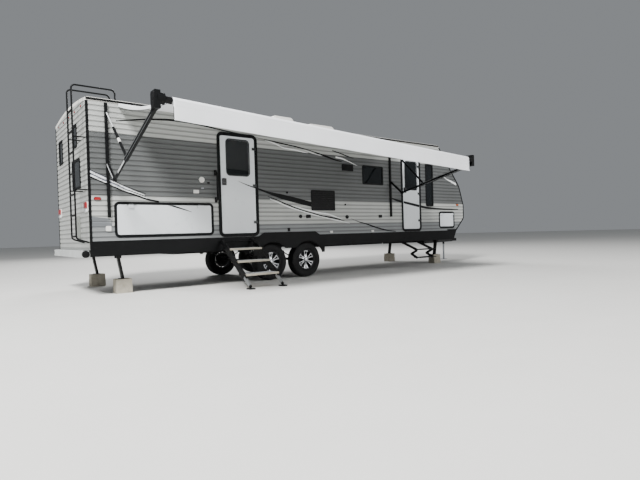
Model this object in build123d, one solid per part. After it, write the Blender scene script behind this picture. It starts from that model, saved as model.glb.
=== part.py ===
from build123d import *
import math
import os

# A travel caravan with two entry doors, tandem wheels and an awning let out on its camp side.
# Millimetres. X runs from the rear wall to the towing end, Y points to the road side and Z is up.
# The camp side, where the doors and the awning are, lies at negative Y. The ground is Z = 0.

# Body shell
HALF_WIDTH = 1220.0
ROOF_LENGTH = 8534.0
SIDE_TOP = 3105.0
ROOF_RISE = 90.0
ROOF_T = 50.0
WALL_T = 45.0
SKIN_T = 10.0
# Ribbed siding: distance between grooves, height of the first groove over the floor, groove's section
RIB_PITCH = 82.3
RIB_FIRST = 54.4
GROOVE_DEPTH = 7.0
GROOVE_WIDTH = 30.0
GROOVE_FLAT = 12.0
REAR_SKIN_DROP = 136.0
FLOOR_TOP = 876.0
FLOOR_T = 60.0
SKIRT_BOTTOM = FLOOR_TOP - 243.0
# Front outline, from the roof edge down to the floor: X, Z, corner radius
NOSE_X = ROOF_LENGTH + 1046.0
NOSE = [(ROOF_LENGTH, SIDE_TOP, 0.0), (ROOF_LENGTH + 867.0, SIDE_TOP - 1031.0, 400.0),
        (NOSE_X, FLOOR_TOP + 693.0, 250.0), (NOSE_X, FLOOR_TOP + 324.0, 150.0),
        (ROOF_LENGTH + 706.0, FLOOR_TOP, 0.0)]
NOSE_RUN = (NOSE[1][0] - NOSE[0][0]) / (NOSE[0][1] - NOSE[1][1])
SKIRT_FRONT_X = ROOF_LENGTH + 580.0
FLOOR_FRONT_X = ROOF_LENGTH + 661.0
TRIM_T = 4.0
TRIM_W = 30.0
GUTTER_T = 14.0
GUTTER_H = 34.0
CLEAR = 10.0
SEAT = 0.3
FAR = 100.0

# Wheels and running gear
SIDES = {"camp": -1.0, "road": 1.0}
AXLE_APART = 859.0
REAR_WHEEL_X = 3319.0
WHEEL_X = {"rear": REAR_WHEEL_X, "front": REAR_WHEEL_X + AXLE_APART}
TYRE_R = 359.0
TYRE_W = 225.0
TYRE_Y = HALF_WIDTH - 158.0
RIM_R = 196.0
RIM_LIP_R = 207.0
RIM_W = 178.0
RIM_FLANGE_T = 6.0
BARREL_T = 14.0
HUB_R = 58.0
HUB_W = 60.0
SPINDLE_R = 45.0
SPOKES = 6
SPOKE_W = 28.0
SPOKE_T = 26.0
SPOKE_SPLIT = 9.0
SPOKE_SUNK = (12.0, 6.0)
DRUM_R = 130.0
DRUM_W = 60.0
DRUM_PROUD = 20.0
AXLE_R = 30.0
SPRING_Y = HALF_WIDTH - 440.0
SPRING_W = 45.0
SPRING_T = 36.0
SPRING_LEAVES = 4
SPRING_HALF = 330.0
SPRING_STEP = 70.0
SPRING_CAMBER = 105.0
SPRING_EYE_R = 17.0
HANGER_T = 10.0
HANGER_W = (90.0, 48.0)
HANGER_RISE = 34.0
PIN_RISE = 30.0
ROCKER_HALF = 115.0
# Equaliser: heights of its foot, its shoulder and its top over the springs' eyes, half width of its top
ROCKER = (16.0, 48.0, 92.0, 30.0)
PAD_T = 8.0

# Chassis
RAIL_Y = SPRING_Y
RAIL_H = 180.0
RAIL_W = 76.0
RAIL_WEB = 10.0
RAIL_X = (90.0, ROOF_LENGTH + 646.0)
RAIL_TOP = FLOOR_TOP - FLOOR_T
RAIL_LOW = RAIL_TOP - RAIL_H
FRONT_DOOR_X = ROOF_LENGTH - 1444.0
CROSS_APART = 1100.0
CROSS_FRONT_X = FRONT_DOOR_X + 10.0
CROSS_X = [400.0, 1500.0, 2600.0, (WHEEL_X["rear"] + WHEEL_X["front"]) / 2, CROSS_FRONT_X - 2 * CROSS_APART,
           CROSS_FRONT_X - CROSS_APART, CROSS_FRONT_X, RAIL_X[1] - 880.0]
CROSS_SIZE = 50.0
CROSS_DROP = 60.0
OUTRIGGER_W = 40.0
END_BAR_W = 60.0
FRAME_A_H = 100.0
FRAME_A_W = 60.0
FRAME_A_X = ROOF_LENGTH - 134.0
FRAME_A_Z = RAIL_LOW - FRAME_A_H / 2
FRAME_A_Y = (RAIL_Y - 40.0, 80.0)
TOW_LENGTH = 1220.0
COUPLER_X = NOSE_X + TOW_LENGTH
COUPLER_LONG = 270.0
COUPLER_R = 58.0
COUPLER_Z = (-40.0, 45.0)
COUPLER_PLATE = (16.0, 112.0)
BALL_R = 30.0
TANK_WIDE = 560.0
TANK_H = 230.0
BUMPER_SIZE = (100.0, 112.0)
BUMPER_OUT = 60.0
BUMPER_Z = SKIRT_BOTTOM + 46.0
BUMPER_TIE = (4.0, 60.0)
BUMPER_END = HALF_WIDTH - 70.0
BUMPER_CAP = (56.0, 12.0)

# Awning, let out: roller heights and knee heights of its rear and front arms
AWNING_X = {"rear": 285.0, "front": ROOF_LENGTH - 1854.0}
CANOPY_X = (480.0, ROOF_LENGTH - 1974.0)
HEAD_Y = -HALF_WIDTH - 2250.0
HEAD_Z = {"rear": 2590.0, "front": 2296.0}
# Arm head: thickness, reach to the wall, rise and drop from the roller's middle; its round end: radius, length
HEAD_PLATE = (70.0, 90.0, 90.0, 130.0)
HEAD_CAP = (70.0, 60.0)
HEAD_EDGE = 12.0
KNEE_Y = -HALF_WIDTH - 380.0
KNEE_Z = {"rear": 1800.0, "front": 1790.0}
KNEE_R = 32.0
CHANNEL_W = 44.0
CHANNEL_T = 34.0
CHANNEL_LOW = FLOOR_TOP + 369.0
CHANNEL_PIVOT_RISE = 290.0
UPPER_ARM = (34.0, 40.0)
# Lower arm: the outer tube and the slimmer tube that slides in it, and where the outer one ends
LOWER_ARM = (40.0, 62.0)
SLIDE_ARM = (28.0, 38.0)
SLIDE_SHARE = 0.32
SLIDE_IN = 60.0
ARM_END = (20.0, 100.0)
STRUT_DROP = 190.0
STRUT_SHARE = 0.35
STRUT_R = (9.0, 20.0)
STRUT_ROD_SHARE = 0.38
ROLLER_R = 42.0
CANOPY_T = 6.0
CANOPY_DROP = 44.0
VALANCE_DROP = 250.0
CANOPY_SAG = 80.0

# Entry doors: low X, high X, low Z, high Z of the doorway's frame, without the flange round it
REAR_DOOR_X = 2198.0
REAR_DOOR_W = 804.0
FRONT_DOOR_W = 680.0
THRESHOLD_Z = FLOOR_TOP + 23.0
ENTRY = {"rear": (REAR_DOOR_X, REAR_DOOR_X + REAR_DOOR_W, THRESHOLD_Z, SIDE_TOP - 315.0),
         "front": (FRONT_DOOR_X, FRONT_DOOR_X + FRONT_DOOR_W, THRESHOLD_Z, SIDE_TOP - 355.0)}
DOOR_WINDOW = {"rear": (REAR_DOOR_X + 172.0, REAR_DOOR_X + 632.0, FLOOR_TOP + 1154.0, SIDE_TOP - 425.0),
               "front": (FRONT_DOOR_X + 125.0, FRONT_DOOR_X + 555.0, FLOOR_TOP + 1044.0, SIDE_TOP - 505.0)}
DOOR_WINDOW_R = 60.0
DOOR_WINDOW_RIM = (22.0, 6.0)
ENTRY_R = 90.0
FRAME_W = 26.0
FRAME_LIP = 10.0
FLANGE_T = 9.0
FLANGE_OUT = 20.0
LEAF_PROUD = 4.0
LEAF_FACE = HALF_WIDTH + LEAF_PROUD
LEAF_INSET = FRAME_W + FRAME_LIP + CLEAR
HINGE_Y = HALF_WIDTH + 20.0
HINGE_R = 7.0
HINGE_IN = FRAME_W + 2.0
HINGE_END = 250.0
STRAP_LONG = 70.0
STRAP_T = 6.0
STRAP_EDGE = 2.0
ENTRY_KNUCKLE = (50.0, 32.0)
BAGGAGE_KNUCKLE = (80.0, 36.0)
LATCH_Z = FLOOR_TOP + 1019.0
LATCH_PLATE = (90.0, 130.0, 14.0)
LATCH_PULL = (70.0, 45.0, 20.0)
LATCH_IN = 60.0
# Baggage doors: side, low X, high X, low Z, high Z of the frame's outside
NOSE_LOCKER = (ROOF_LENGTH - 34.0, ROOF_LENGTH + 616.0, FLOOR_TOP + 64.0, FLOOR_TOP + 504.0)
BAGGAGE = {"baggage_door_rear": ("camp", 364.0, 2072.0, FLOOR_TOP + 46.0, FLOOR_TOP + 622.0),
           "baggage_door_front": ("camp", *NOSE_LOCKER),
           "baggage_door_road": ("road", *NOSE_LOCKER)}
BAGGAGE_R = 80.0
BAGGAGE_HINGES = (0.15, 0.85)
TURN_LATCH = (56.0, 50.0, 12.0)
# Windows: wall, low, high along the wall, heights above the floor
WINDOWS = [(wall, low, high, FLOOR_TOP + low_z, FLOOR_TOP + high_z) for wall, low, high, low_z, high_z in (
    ("camp", FRONT_DOOR_X - 1310.0, FRONT_DOOR_X - 640.0, 1109.0, 1549.0),
    ("camp", ROOF_LENGTH - 549.0, ROOF_LENGTH - 249.0, 634.0, 1724.0),
    ("road", 1150.0, 1850.0, 1124.0, 1554.0),
    ("road", 5050.0, 6350.0, 884.0, 1554.0),
    ("road", ROOF_LENGTH - 549.0, ROOF_LENGTH - 249.0, 634.0, 1724.0),
    ("rear", -560.0, -230.0, 1564.0, 1954.0),
    ("rear", -720.0, -120.0, 871.0, 1366.0),
    ("rear", 620.0, 960.0, 1434.0, 1884.0))]
WINDOW_R = 45.0
GLASS_T = 6.0
GLASS_IN = 4.0

# Rear ladder
LADDER_Y = (-HALF_WIDTH + 55.0, -HALF_WIDTH + 375.0)
LADDER_X = -185.0
LADDER_R = 13.0
LADDER_FOOT_Z = FLOOR_TOP - 16.0
LADDER_TOP_Z = SIDE_TOP + 175.0
LADDER_REACH = 450.0
LADDER_BEND = 60.0
LADDER_FOOT = (30.0, 24.0)
STANDOFF_Z = (FLOOR_TOP + 804.0, FLOOR_TOP + 1614.0)
STANDOFF_R = 10.0
RUNG_R = 12.0
RUNG_Z = LADDER_FOOT_Z + 100.0
RUNG_PITCH = 323.0
RUNGS = 7

# Wheel arches
ARCH_GAP = 36.0
ARCH_BAND = 40.0
ARCH_TOP = FLOOR_TOP + 69.0
ARCH_SLOPE = (240.0, 140.0)
ARCH_LOW = 500.0
ARCH_WEB_Z = SKIRT_BOTTOM - 13.0
ARCH_PROUD = 18.0

# Stabiliser legs: name, X of the pivot, side, direction in X that the leg leans
LEG_REAR_X = 500.0
LEG_FRONT_X = ROOF_LENGTH + 276.0
LEGS = {"stabilizer_rear_camp": (LEG_REAR_X, "camp", 1), "stabilizer_rear_road": (LEG_REAR_X, "road", 1),
        "stabilizer_front_camp": (LEG_FRONT_X, "camp", -1), "stabilizer_front_road": (LEG_FRONT_X, "road", -1)}
LEG_Y = RAIL_Y + 60.0
LEG_REACH = 62.0
LEG_FOOT_Z = 235.0
LEG_PIVOT_DROP = 34.0
LEG_PIVOT_Z = RAIL_LOW - LEG_PIVOT_DROP
LEG_PIN_R = 8.0
LEG_EYE_R = 20.0
LEG_W = 84.0
LEG_D = 40.0
LEG_PAD = (112.0, 140.0, 8.0)
LEG_FOOT_HALF = 14.0
BRACKET_HALF = 70.0
BRACKET_PLATE = (120.0, 8.0)
BRACKET_EAR = (80.0, 8.0)
BRACKET_DROP = 22.0
BLOCK_SIZE = (260.0, 200.0, 130.0)
BLOCK_CAP_IN = 4.0

# Fittings on the tow frame
TONGUE_JACK_X = COUPLER_X - 550.0
JACK_TUBE = (30.0, 26.0, 640.0)
JACK_TUBE_Z = 200.0
JACK_HEAD = (120.0, 90.0, 140.0)
JACK_FLANGE = (95.0, 12.0)
JACK_SEAT = 80.0
JACK_LEG_R = 25.0
JACK_LEG_IN = 60.0
JACK_FOOT = (95.0, 12.0)
BOTTLE_X = COUPLER_X - 970.0
BOTTLE_Y = 165.0
BOTTLE_R = 150.0
BOTTLE_H = 420.0
BOTTLE_ROUND = 60.0
COLLAR = (85.0, 78.0, 110.0)
BOTTLE_VALVE = (30.0, 60.0)
BOTTLE_TRAY = (340.0, 660.0, 20.0)
BATTERY_X = RAIL_X[1] + 160.0
BATTERY_SIZE = (170.0, 300.0, 210.0)
BATTERY_TRAY = (180.0, 900.0, 12.0)

# Steps
STEP_X = (REAR_DOOR_X + 13.0, REAR_DOOR_X + REAR_DOOR_W - 153.0)
STEP_HINGE = (-HALF_WIDTH - 42.0, FLOOR_TOP - 76.0)
STEP_RUN = 980.0
STEP_FOOT = (STEP_HINGE[0] - STEP_RUN, 36.0)
STEP_SHARES = (0.18, 0.46, 0.74)
STEP_RAIL = (30.0, 46.0)
# Side plates of the steps: depth, and the shares of the rail between which they run
STEP_PLATE = (118.0, 0.11, 0.84)
STEP_TREAD = (250.0, 32.0)
STEP_TREAD_RISE = 10.0
STEP_SHOE = (100.0, 130.0, 20.0)
STEP_EYE_R = 26.0
STEP_PIN_R = 8.0
STEP_EAR_T = 16.0
FOLD_STEP_X = (FRONT_DOOR_X + 40.0, FRONT_DOOR_X + 600.0)
FOLD_STEP_Y = -HALF_WIDTH + 90.0
FOLD_STEP_OUT = 500.0
FOLD_STEP_BACK = 190.0
FOLD_STEP_Z = (FLOOR_TOP - 250.0, FLOOR_TOP - 446.0, FLOOR_TOP - 636.0)
FOLD_STEP_BAR = (8.0, 60.0)
FOLD_TREAD = (220.0, 22.0)

# Fittings on the body
HANDLE_X = REAR_DOOR_X - 64.0
HANDLE_Z = (FLOOR_TOP + 684.0, FLOOR_TOP + 1174.0)
HANDLE_R = 16.0
HANDLE_OUT = 70.0
HANDLE_BEND = 30.0
ROOF_UNITS = ((3990.0, 4640.0, 365.0), (4990.0, 5830.0, 295.0))
ROOF_UNIT_HALF = 350.0
ROOF_UNIT_EDGE = 60.0
ROOF_VENT_X = (1300.0, 2900.0, ROOF_LENGTH - 1134.0)
ROOF_VENT_HALF = 200.0
ROOF_VENT_H = 90.0
TAIL_LAMP_Y = HALF_WIDTH - 180.0
TAIL_LAMP = (200.0, FLOOR_TOP + 454.0, FLOOR_TOP + 629.0, 32.0)
SIDE_LAMPS = ((123.0, FLOOR_TOP + 662.0), (ROOF_LENGTH + 766.0, FLOOR_TOP + 684.0))
SIDE_LAMP = (110.0, 54.0, 18.0)
TOP_LAMP_APART = 450.0
TOP_LAMP_Z = SIDE_TOP - 75.0
TOP_LAMP = (64.0, 28.0, 14.0)
LOUVRE = (FRONT_DOOR_X - 2790.0, FRONT_DOOR_X - 2150.0, FLOOR_TOP + 504.0, FLOOR_TOP + 934.0)
LOUVRE_SLOTS = 9
LOUVRE_PITCH = 40.0
LOUVRE_T = 12.0
HOOD_VENT = (FRONT_DOOR_X - 1920.0, FRONT_DOOR_X - 1600.0, FLOOR_TOP + 1387.0, FLOOR_TOP + 1527.0)
HOOD_VENT_T = 22.0
# Hatches: wall, low, high along the wall, heights above the floor, how far they stand out
HATCH_PLACES = (("camp", 230.0, 310.0, 154.0, 234.0, 14.0), ("road", 2300.0, 2460.0, 374.0, 534.0, 14.0),
                ("road", FRONT_DOOR_X - 190.0, FRONT_DOOR_X - 30.0, 274.0, 434.0, 14.0),
                ("road", 3500.0, 3860.0, 274.0, 684.0, 10.0), ("rear", -590.0, -240.0, 62.0, 423.0, 12.0))
HATCHES = [(wall, low, high, FLOOR_TOP + low_z, FLOOR_TOP + high_z, out)
           for wall, low, high, low_z, high_z, out in HATCH_PLACES]
HATCH_R = 14.0

# The part's origin: the middle of its box, on the ground
ORIGIN = ((LADDER_X - LADDER_R + COUPLER_X + COUPLER_R) / 2,
          (HEAD_Y - HEAD_CAP[0] + HINGE_Y + HINGE_R) / 2, 0.0)


def block(x0, x1, y0, y1, z0, z1):
    return Pos((x0 + x1) / 2, (y0 + y1) / 2, (z0 + z1) / 2) * Box(x1 - x0, y1 - y0, z1 - z0)


def along_y(sketch, y0, y1):
    """A sketch drawn in X and Z, given thickness from y0 to y1."""
    plane = Plane(origin=(0, max(y0, y1), 0), x_dir=(1, 0, 0), z_dir=(0, -1, 0))
    return extrude(plane * sketch, abs(y1 - y0))


def along_x(sketch, x0, x1):
    """A sketch drawn in Y and Z, given thickness from x0 to x1."""
    plane = Plane(origin=(min(x0, x1), 0, 0), x_dir=(0, 1, 0), z_dir=(1, 0, 0))
    return extrude(plane * sketch, abs(x1 - x0))


def rounded(a0, a1, b0, b1, radius):
    return Pos((a0 + a1) / 2, (b0 + b1) / 2) * RectangleRounded(a1 - a0, b1 - b0, radius)


def rod(start, end, radius):
    """A round bar from one point to another."""
    a, b = Vector(*start), Vector(*end)
    return extrude(Plane(origin=a, z_dir=b - a) * Circle(radius), (b - a).length)


def bar(start, end, width, depth, side):
    """A square-edged bar from one point to another; side is the direction of its width."""
    a, b = Vector(*start), Vector(*end)
    return extrude(Plane(origin=a, x_dir=side, z_dir=b - a) * Rectangle(width, depth), (b - a).length)


def fuse(pieces):
    body = pieces[0]
    for piece in pieces[1:]:
        body = body + piece
    return body


def save(name, *shapes):
    solids = [Pos(-ORIGIN[0], -ORIGIN[1], 0) * solid for shape in shapes for solid in shape.solids()]
    export_step(solids[0] if len(solids) == 1 else Compound(children=solids), f"parts/{name}.step")


def body_outline(inset):
    """Side outline of the shell above the floor, drawn in by inset all round but at the floor."""
    points = [(0.0, FLOOR_TOP)] + [(x, z) for x, z, _ in reversed(NOSE)] + [(0.0, SIDE_TOP)]
    face = make_face(Polyline(*points, close=True))
    for x, z, radius in NOSE:
        if radius:
            corner = [v for v in face.vertices() if abs(v.X - x) < 1 and abs(v.Y - z) < 1]
            face = fillet(corner, radius)
    return offset(face, -inset, kind=Kind.INTERSECTION) if inset else face


def roof_section(drop):
    """Region below the crowned roof line, lowered by drop."""
    edge = SIDE_TOP - drop
    arc = ThreePointArc((HALF_WIDTH, edge), (0, edge + ROOF_RISE), (-HALF_WIDTH, edge))
    rest = Polyline((-HALF_WIDTH, edge), (-HALF_WIDTH, 0), (HALF_WIDTH, 0), (HALF_WIDTH, edge))
    return make_face([arc] + rest.edges())


def opening_cuts(wall, grow, low, high):
    """Solids that cut a wall's openings between depths low and high, grown by grow."""
    cuts = []
    for name, x0, x1, z0, z1 in WINDOWS:
        if name == wall:
            outline = rounded(x0 - grow, x1 + grow, z0 - grow, z1 + grow, WINDOW_R + grow)
            cuts.append(along_x(outline, low, high) if wall == "rear" else along_y(outline, low, high))
    if wall == "camp":
        for x0, x1, z0, z1 in ENTRY.values():
            outline = rounded(x0 - grow, x1 + grow, z0 - grow, z1 + grow, ENTRY_R + grow)
            cuts.append(along_y(outline, low, high))
    for side, x0, x1, z0, z1 in BAGGAGE.values():
        if side == wall:
            outline = rounded(x0 - grow, x1 + grow, z0 - grow, z1 + grow, BAGGAGE_R + grow)
            cuts.append(along_y(outline, low, high))
    return cuts


def side_wall(side):
    sign = SIDES[side]
    outer = sign * (HALF_WIDTH - SKIN_T)
    inner = sign * (HALF_WIDTH - SKIN_T - WALL_T)
    wall = along_y(body_outline(0), inner, outer)
    wall = wall & block(SKIN_T, NOSE_X, -HALF_WIDTH, HALF_WIDTH, FLOOR_TOP, SIDE_TOP - ROOF_T)
    for cut in opening_cuts(side, -FRAME_W, sign * (HALF_WIDTH + FAR), sign * (HALF_WIDTH - FAR)):
        wall = wall - cut
    return wall


def rear_wall():
    wall = along_x(roof_section(ROOF_T), SKIN_T, SKIN_T + WALL_T)
    half = HALF_WIDTH - SKIN_T - WALL_T
    wall = wall & block(0, FAR, -half, half, FLOOR_TOP, SIDE_TOP + ROOF_RISE)
    for cut in opening_cuts("rear", -FRAME_W, -FAR, FAR):
        wall = wall - cut
    return wall


def front_wall():
    half = HALF_WIDTH - SKIN_T - WALL_T
    over = 2 * FAR
    ring = body_outline(0) - body_outline(WALL_T)
    slope = Polyline((ROOF_LENGTH, SIDE_TOP), (ROOF_LENGTH - NOSE_RUN * over, SIDE_TOP + over),
                     (ROOF_LENGTH - NOSE_RUN * over - WALL_T - SKIN_T, SIDE_TOP + over),
                     (ROOF_LENGTH - WALL_T - SKIN_T, SIDE_TOP - 1), close=True)
    wall = along_y(ring + make_face(slope), -half, half)
    wall = wall & along_x(roof_section(ROOF_T), ROOF_LENGTH - FAR, NOSE_X + SKIN_T)
    return wall & block(ROOF_LENGTH - 2 * WALL_T, NOSE_X + SKIN_T, -half, half, FLOOR_TOP, SIDE_TOP + over)


def roof():
    reach = ROOF_LENGTH + 2 * FAR
    shell = along_x(roof_section(0), 0, reach) - along_x(roof_section(ROOF_T), -FAR, reach + FAR)
    low, high = -2 * FAR, 2 * FAR
    front = Polyline((-FAR, SIDE_TOP + low), (ROOF_LENGTH - NOSE_RUN * low, SIDE_TOP + low),
                     (ROOF_LENGTH - NOSE_RUN * high, SIDE_TOP + high), (-FAR, SIDE_TOP + high), close=True)
    return shell & along_y(make_face(front), -HALF_WIDTH, HALF_WIDTH)


def rib_profile(low, high, face, back):
    """Ribbed sheet in section: flat on the back, with a shallow groove at each pitch on the face."""
    inward = 1 if back > face else -1
    bottom = face + inward * GROOVE_DEPTH
    half, flat = GROOVE_WIDTH / 2, GROOVE_FLAT / 2
    points = [(back, low), (face, low)]
    level = FLOOR_TOP + RIB_FIRST
    while level - RIB_PITCH > low + GROOVE_WIDTH:
        level -= RIB_PITCH
    while level < high - GROOVE_WIDTH:
        points += [(face, level - half), (bottom, level - flat), (bottom, level + flat), (face, level + half)]
        level += RIB_PITCH
    points += [(face, high), (back, high)]
    return make_face(Polyline(*points, close=True))


def side_siding(side):
    sign = SIDES[side]
    face = sign * HALF_WIDTH
    back = sign * (HALF_WIDTH - SKIN_T)
    sheet = along_x(rib_profile(FLOOR_TOP, SIDE_TOP - ROOF_T, face, back), 0, NOSE_X + SKIN_T)
    sheet = sheet & along_y(body_outline(0), -HALF_WIDTH - 1, HALF_WIDTH + 1)
    for cut in opening_cuts(side, -FRAME_W, sign * (HALF_WIDTH + FAR), sign * (HALF_WIDTH - FAR)):
        sheet = sheet - cut
    return sheet


def rear_siding():
    half = HALF_WIDTH - SKIN_T
    high = SIDE_TOP - ROOF_T + ROOF_RISE
    sheet = along_y(rib_profile(FLOOR_TOP - REAR_SKIN_DROP, high, 0, SKIN_T), -half, half)
    sheet = sheet & along_x(roof_section(ROOF_T), -SKIN_T, 2 * SKIN_T)
    for cut in opening_cuts("rear", -FRAME_W, -FAR, FAR):
        sheet = sheet - cut
    return sheet


def frame_faces(a0, a1, z0, z1, radius):
    """A frame's outside, its hole and its sleeve through the wall, each as a flat outline."""
    lip = FRAME_W + FRAME_LIP
    gap = FRAME_W + 1
    outside = rounded(a0, a1, z0, z1, radius)
    hole = rounded(a0 + lip, a1 - lip, z0 + lip, z1 - lip, radius - lip)
    sleeve = rounded(a0 + gap, a1 - gap, z0 + gap, z1 - gap, radius - gap)
    return outside, hole, sleeve


def frame_ring(x0, x1, z0, z1, radius, sign, out=0.0):
    """A frame set in a side wall: a flange outside, widened by out, and a sleeve through the wall."""
    outside, hole, sleeve = frame_faces(x0, x1, z0, z1, radius)
    if out:
        outside = rounded(x0 - out, x1 + out, z0 - out, z1 + out, radius + out)
    outer = along_y(outside - hole, sign * HALF_WIDTH, sign * (HALF_WIDTH + FLANGE_T))
    inner = along_y(sleeve - hole, sign * HALF_WIDTH, sign * (HALF_WIDTH - SKIN_T - WALL_T))
    return outer + inner


def leaf_solid(x0, x1, z0, z1, radius, sign):
    edge = LEAF_INSET
    outline = rounded(x0 + edge, x1 - edge, z0 + edge, z1 - edge, radius - edge)
    return along_y(outline, sign * LEAF_FACE, sign * (LEAF_FACE - WALL_T))


def entry_hinge_levels(which):
    z0, z1 = ENTRY[which][2:]
    return z0 + HINGE_END, (z0 + z1) / 2, z1 - HINGE_END


def entry_door(which):
    x0, x1, z0, z1 = ENTRY[which]
    leaf = leaf_solid(x0, x1, z0, z1, ENTRY_R, -1)
    wx0, wx1, wz0, wz1 = DOOR_WINDOW[which]
    pane = rounded(wx0, wx1, wz0, wz1, DOOR_WINDOW_R)
    leaf = leaf - along_y(pane, -HALF_WIDTH - FAR, -HALF_WIDTH + FAR)
    wide, thick = DOOR_WINDOW_RIM
    rim_outline = rounded(wx0 - wide, wx1 + wide, wz0 - wide, wz1 + wide, DOOR_WINDOW_R + wide) - pane
    rim = along_y(rim_outline, -LEAF_FACE, -LEAF_FACE - thick)
    hinge_x = x1 - HINGE_IN
    start_x = hinge_x - STRAP_LONG
    half = ENTRY_KNUCKLE[0] / 2
    pieces = [leaf, rim]
    for level in entry_hinge_levels(which):
        low, high = level - half, level + half
        pieces.append(Pos(hinge_x, -HINGE_Y, level) * Cylinder(HINGE_R, 2 * half))
        pieces.append(block(start_x, hinge_x, -HINGE_Y - STRAP_T / 2, -HINGE_Y + STRAP_T / 2, low, high))
        pieces.append(block(start_x, x1 - LEAF_INSET - STRAP_EDGE, -HINGE_Y, -LEAF_FACE, low, high))
    latch_x = x0 + LEAF_INSET + LATCH_IN
    pull_wide, pull_tall, pull_out = LATCH_PULL
    for wide, tall, thick in (LATCH_PLATE, (pull_wide, pull_tall, LATCH_PLATE[2] + pull_out)):
        plate = Pos(latch_x, LATCH_Z) * RectangleRounded(wide, tall, tall / 10)
        pieces.append(along_y(plate, -LEAF_FACE, -LEAF_FACE - thick))
    return fuse(pieces)


def entry_glass(which):
    outline = rounded(*DOOR_WINDOW[which], DOOR_WINDOW_R)
    return along_y(outline, -LEAF_FACE + GLASS_IN / 2, -LEAF_FACE + GLASS_IN / 2 + GLASS_T)


def entry_frame(which):
    x0, x1, z0, z1 = ENTRY[which]
    frame = frame_ring(x0, x1, z0, z1, ENTRY_R, -1, FLANGE_OUT)
    hinge_x = x1 - HINGE_IN
    leaf_long, frame_long = ENTRY_KNUCKLE
    apart = (leaf_long + frame_long) / 2 + SEAT
    for level in entry_hinge_levels(which):
        for z in (level - apart, level + apart):
            frame = frame + Pos(hinge_x, -HINGE_Y, z) * Cylinder(HINGE_R, frame_long)
            frame = frame + block(hinge_x, hinge_x + HINGE_R + 1, -HINGE_Y, -HALF_WIDTH - FLANGE_T + 1,
                                  z - frame_long / 2, z + frame_long / 2)
    return frame


def baggage_leaf(name):
    side, x0, x1, z0, z1 = BAGGAGE[name]
    sign = SIDES[side]
    pieces = [leaf_solid(x0, x1, z0, z1, BAGGAGE_R, sign)]
    hinge_z = z1 - HINGE_IN
    low = hinge_z - STRAP_LONG
    half = BAGGAGE_KNUCKLE[0] / 2
    strap = sorted((sign * (HINGE_Y - STRAP_T / 2), sign * (HINGE_Y + STRAP_T / 2)))
    root = sorted((sign * LEAF_FACE, sign * HINGE_Y))
    for place in BAGGAGE_HINGES:
        x = x0 + (x1 - x0) * place
        pieces.append(rod((x - half, sign * HINGE_Y, hinge_z), (x + half, sign * HINGE_Y, hinge_z), HINGE_R))
        pieces.append(block(x - half, x + half, *strap, low, hinge_z))
        pieces.append(block(x - half, x + half, *root, low, z1 - LEAF_INSET - STRAP_EDGE))
    size, rise, thick = TURN_LATCH
    latches = 3 if x1 - x0 > 1000 else 2
    for index in range(latches):
        x = x0 + (x1 - x0) * (index + 0.5) / latches
        plate = rounded(x - size / 2, x + size / 2, z0 + rise, z0 + rise + size, size / 6)
        pieces.append(along_y(plate, sign * LEAF_FACE, sign * (LEAF_FACE + thick)))
    return fuse(pieces)


def baggage_frame(name):
    side, x0, x1, z0, z1 = BAGGAGE[name]
    sign = SIDES[side]
    frame = frame_ring(x0, x1, z0, z1, BAGGAGE_R, sign)
    hinge_z = z1 - HINGE_IN
    leaf_long, frame_long = BAGGAGE_KNUCKLE
    apart = (leaf_long + frame_long) / 2 + SEAT
    half = frame_long / 2
    for place in BAGGAGE_HINGES:
        for shift in (-apart, apart):
            x = x0 + (x1 - x0) * place + shift
            ends = [(x + end * half, sign * HINGE_Y, hinge_z) for end in (-1, 1)]
            frame = frame + rod(*ends, HINGE_R)
            root = rounded(x - half, x + half, hinge_z, hinge_z + HINGE_R + 1, 3)
            frame = frame + along_y(root, sign * (HALF_WIDTH + FLANGE_T - 1), sign * HINGE_Y)
    return frame


def window_parts():
    frames = []
    panes = []
    for wall, a0, a1, z0, z1 in WINDOWS:
        outside, hole, sleeve = frame_faces(a0, a1, z0, z1, WINDOW_R)
        if wall == "rear":
            frames.append(along_x(outside - hole, -FLANGE_T, 0) + along_x(sleeve - hole, 0, SKIN_T + WALL_T))
            panes.append(along_x(hole, GLASS_IN, GLASS_IN + GLASS_T))
        else:
            sign = SIDES[wall]
            frames.append(frame_ring(a0, a1, z0, z1, WINDOW_R, sign))
            face = HALF_WIDTH - GLASS_IN
            panes.append(along_y(hole, sign * face, sign * (face - GLASS_T)))
    return frames, panes


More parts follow.
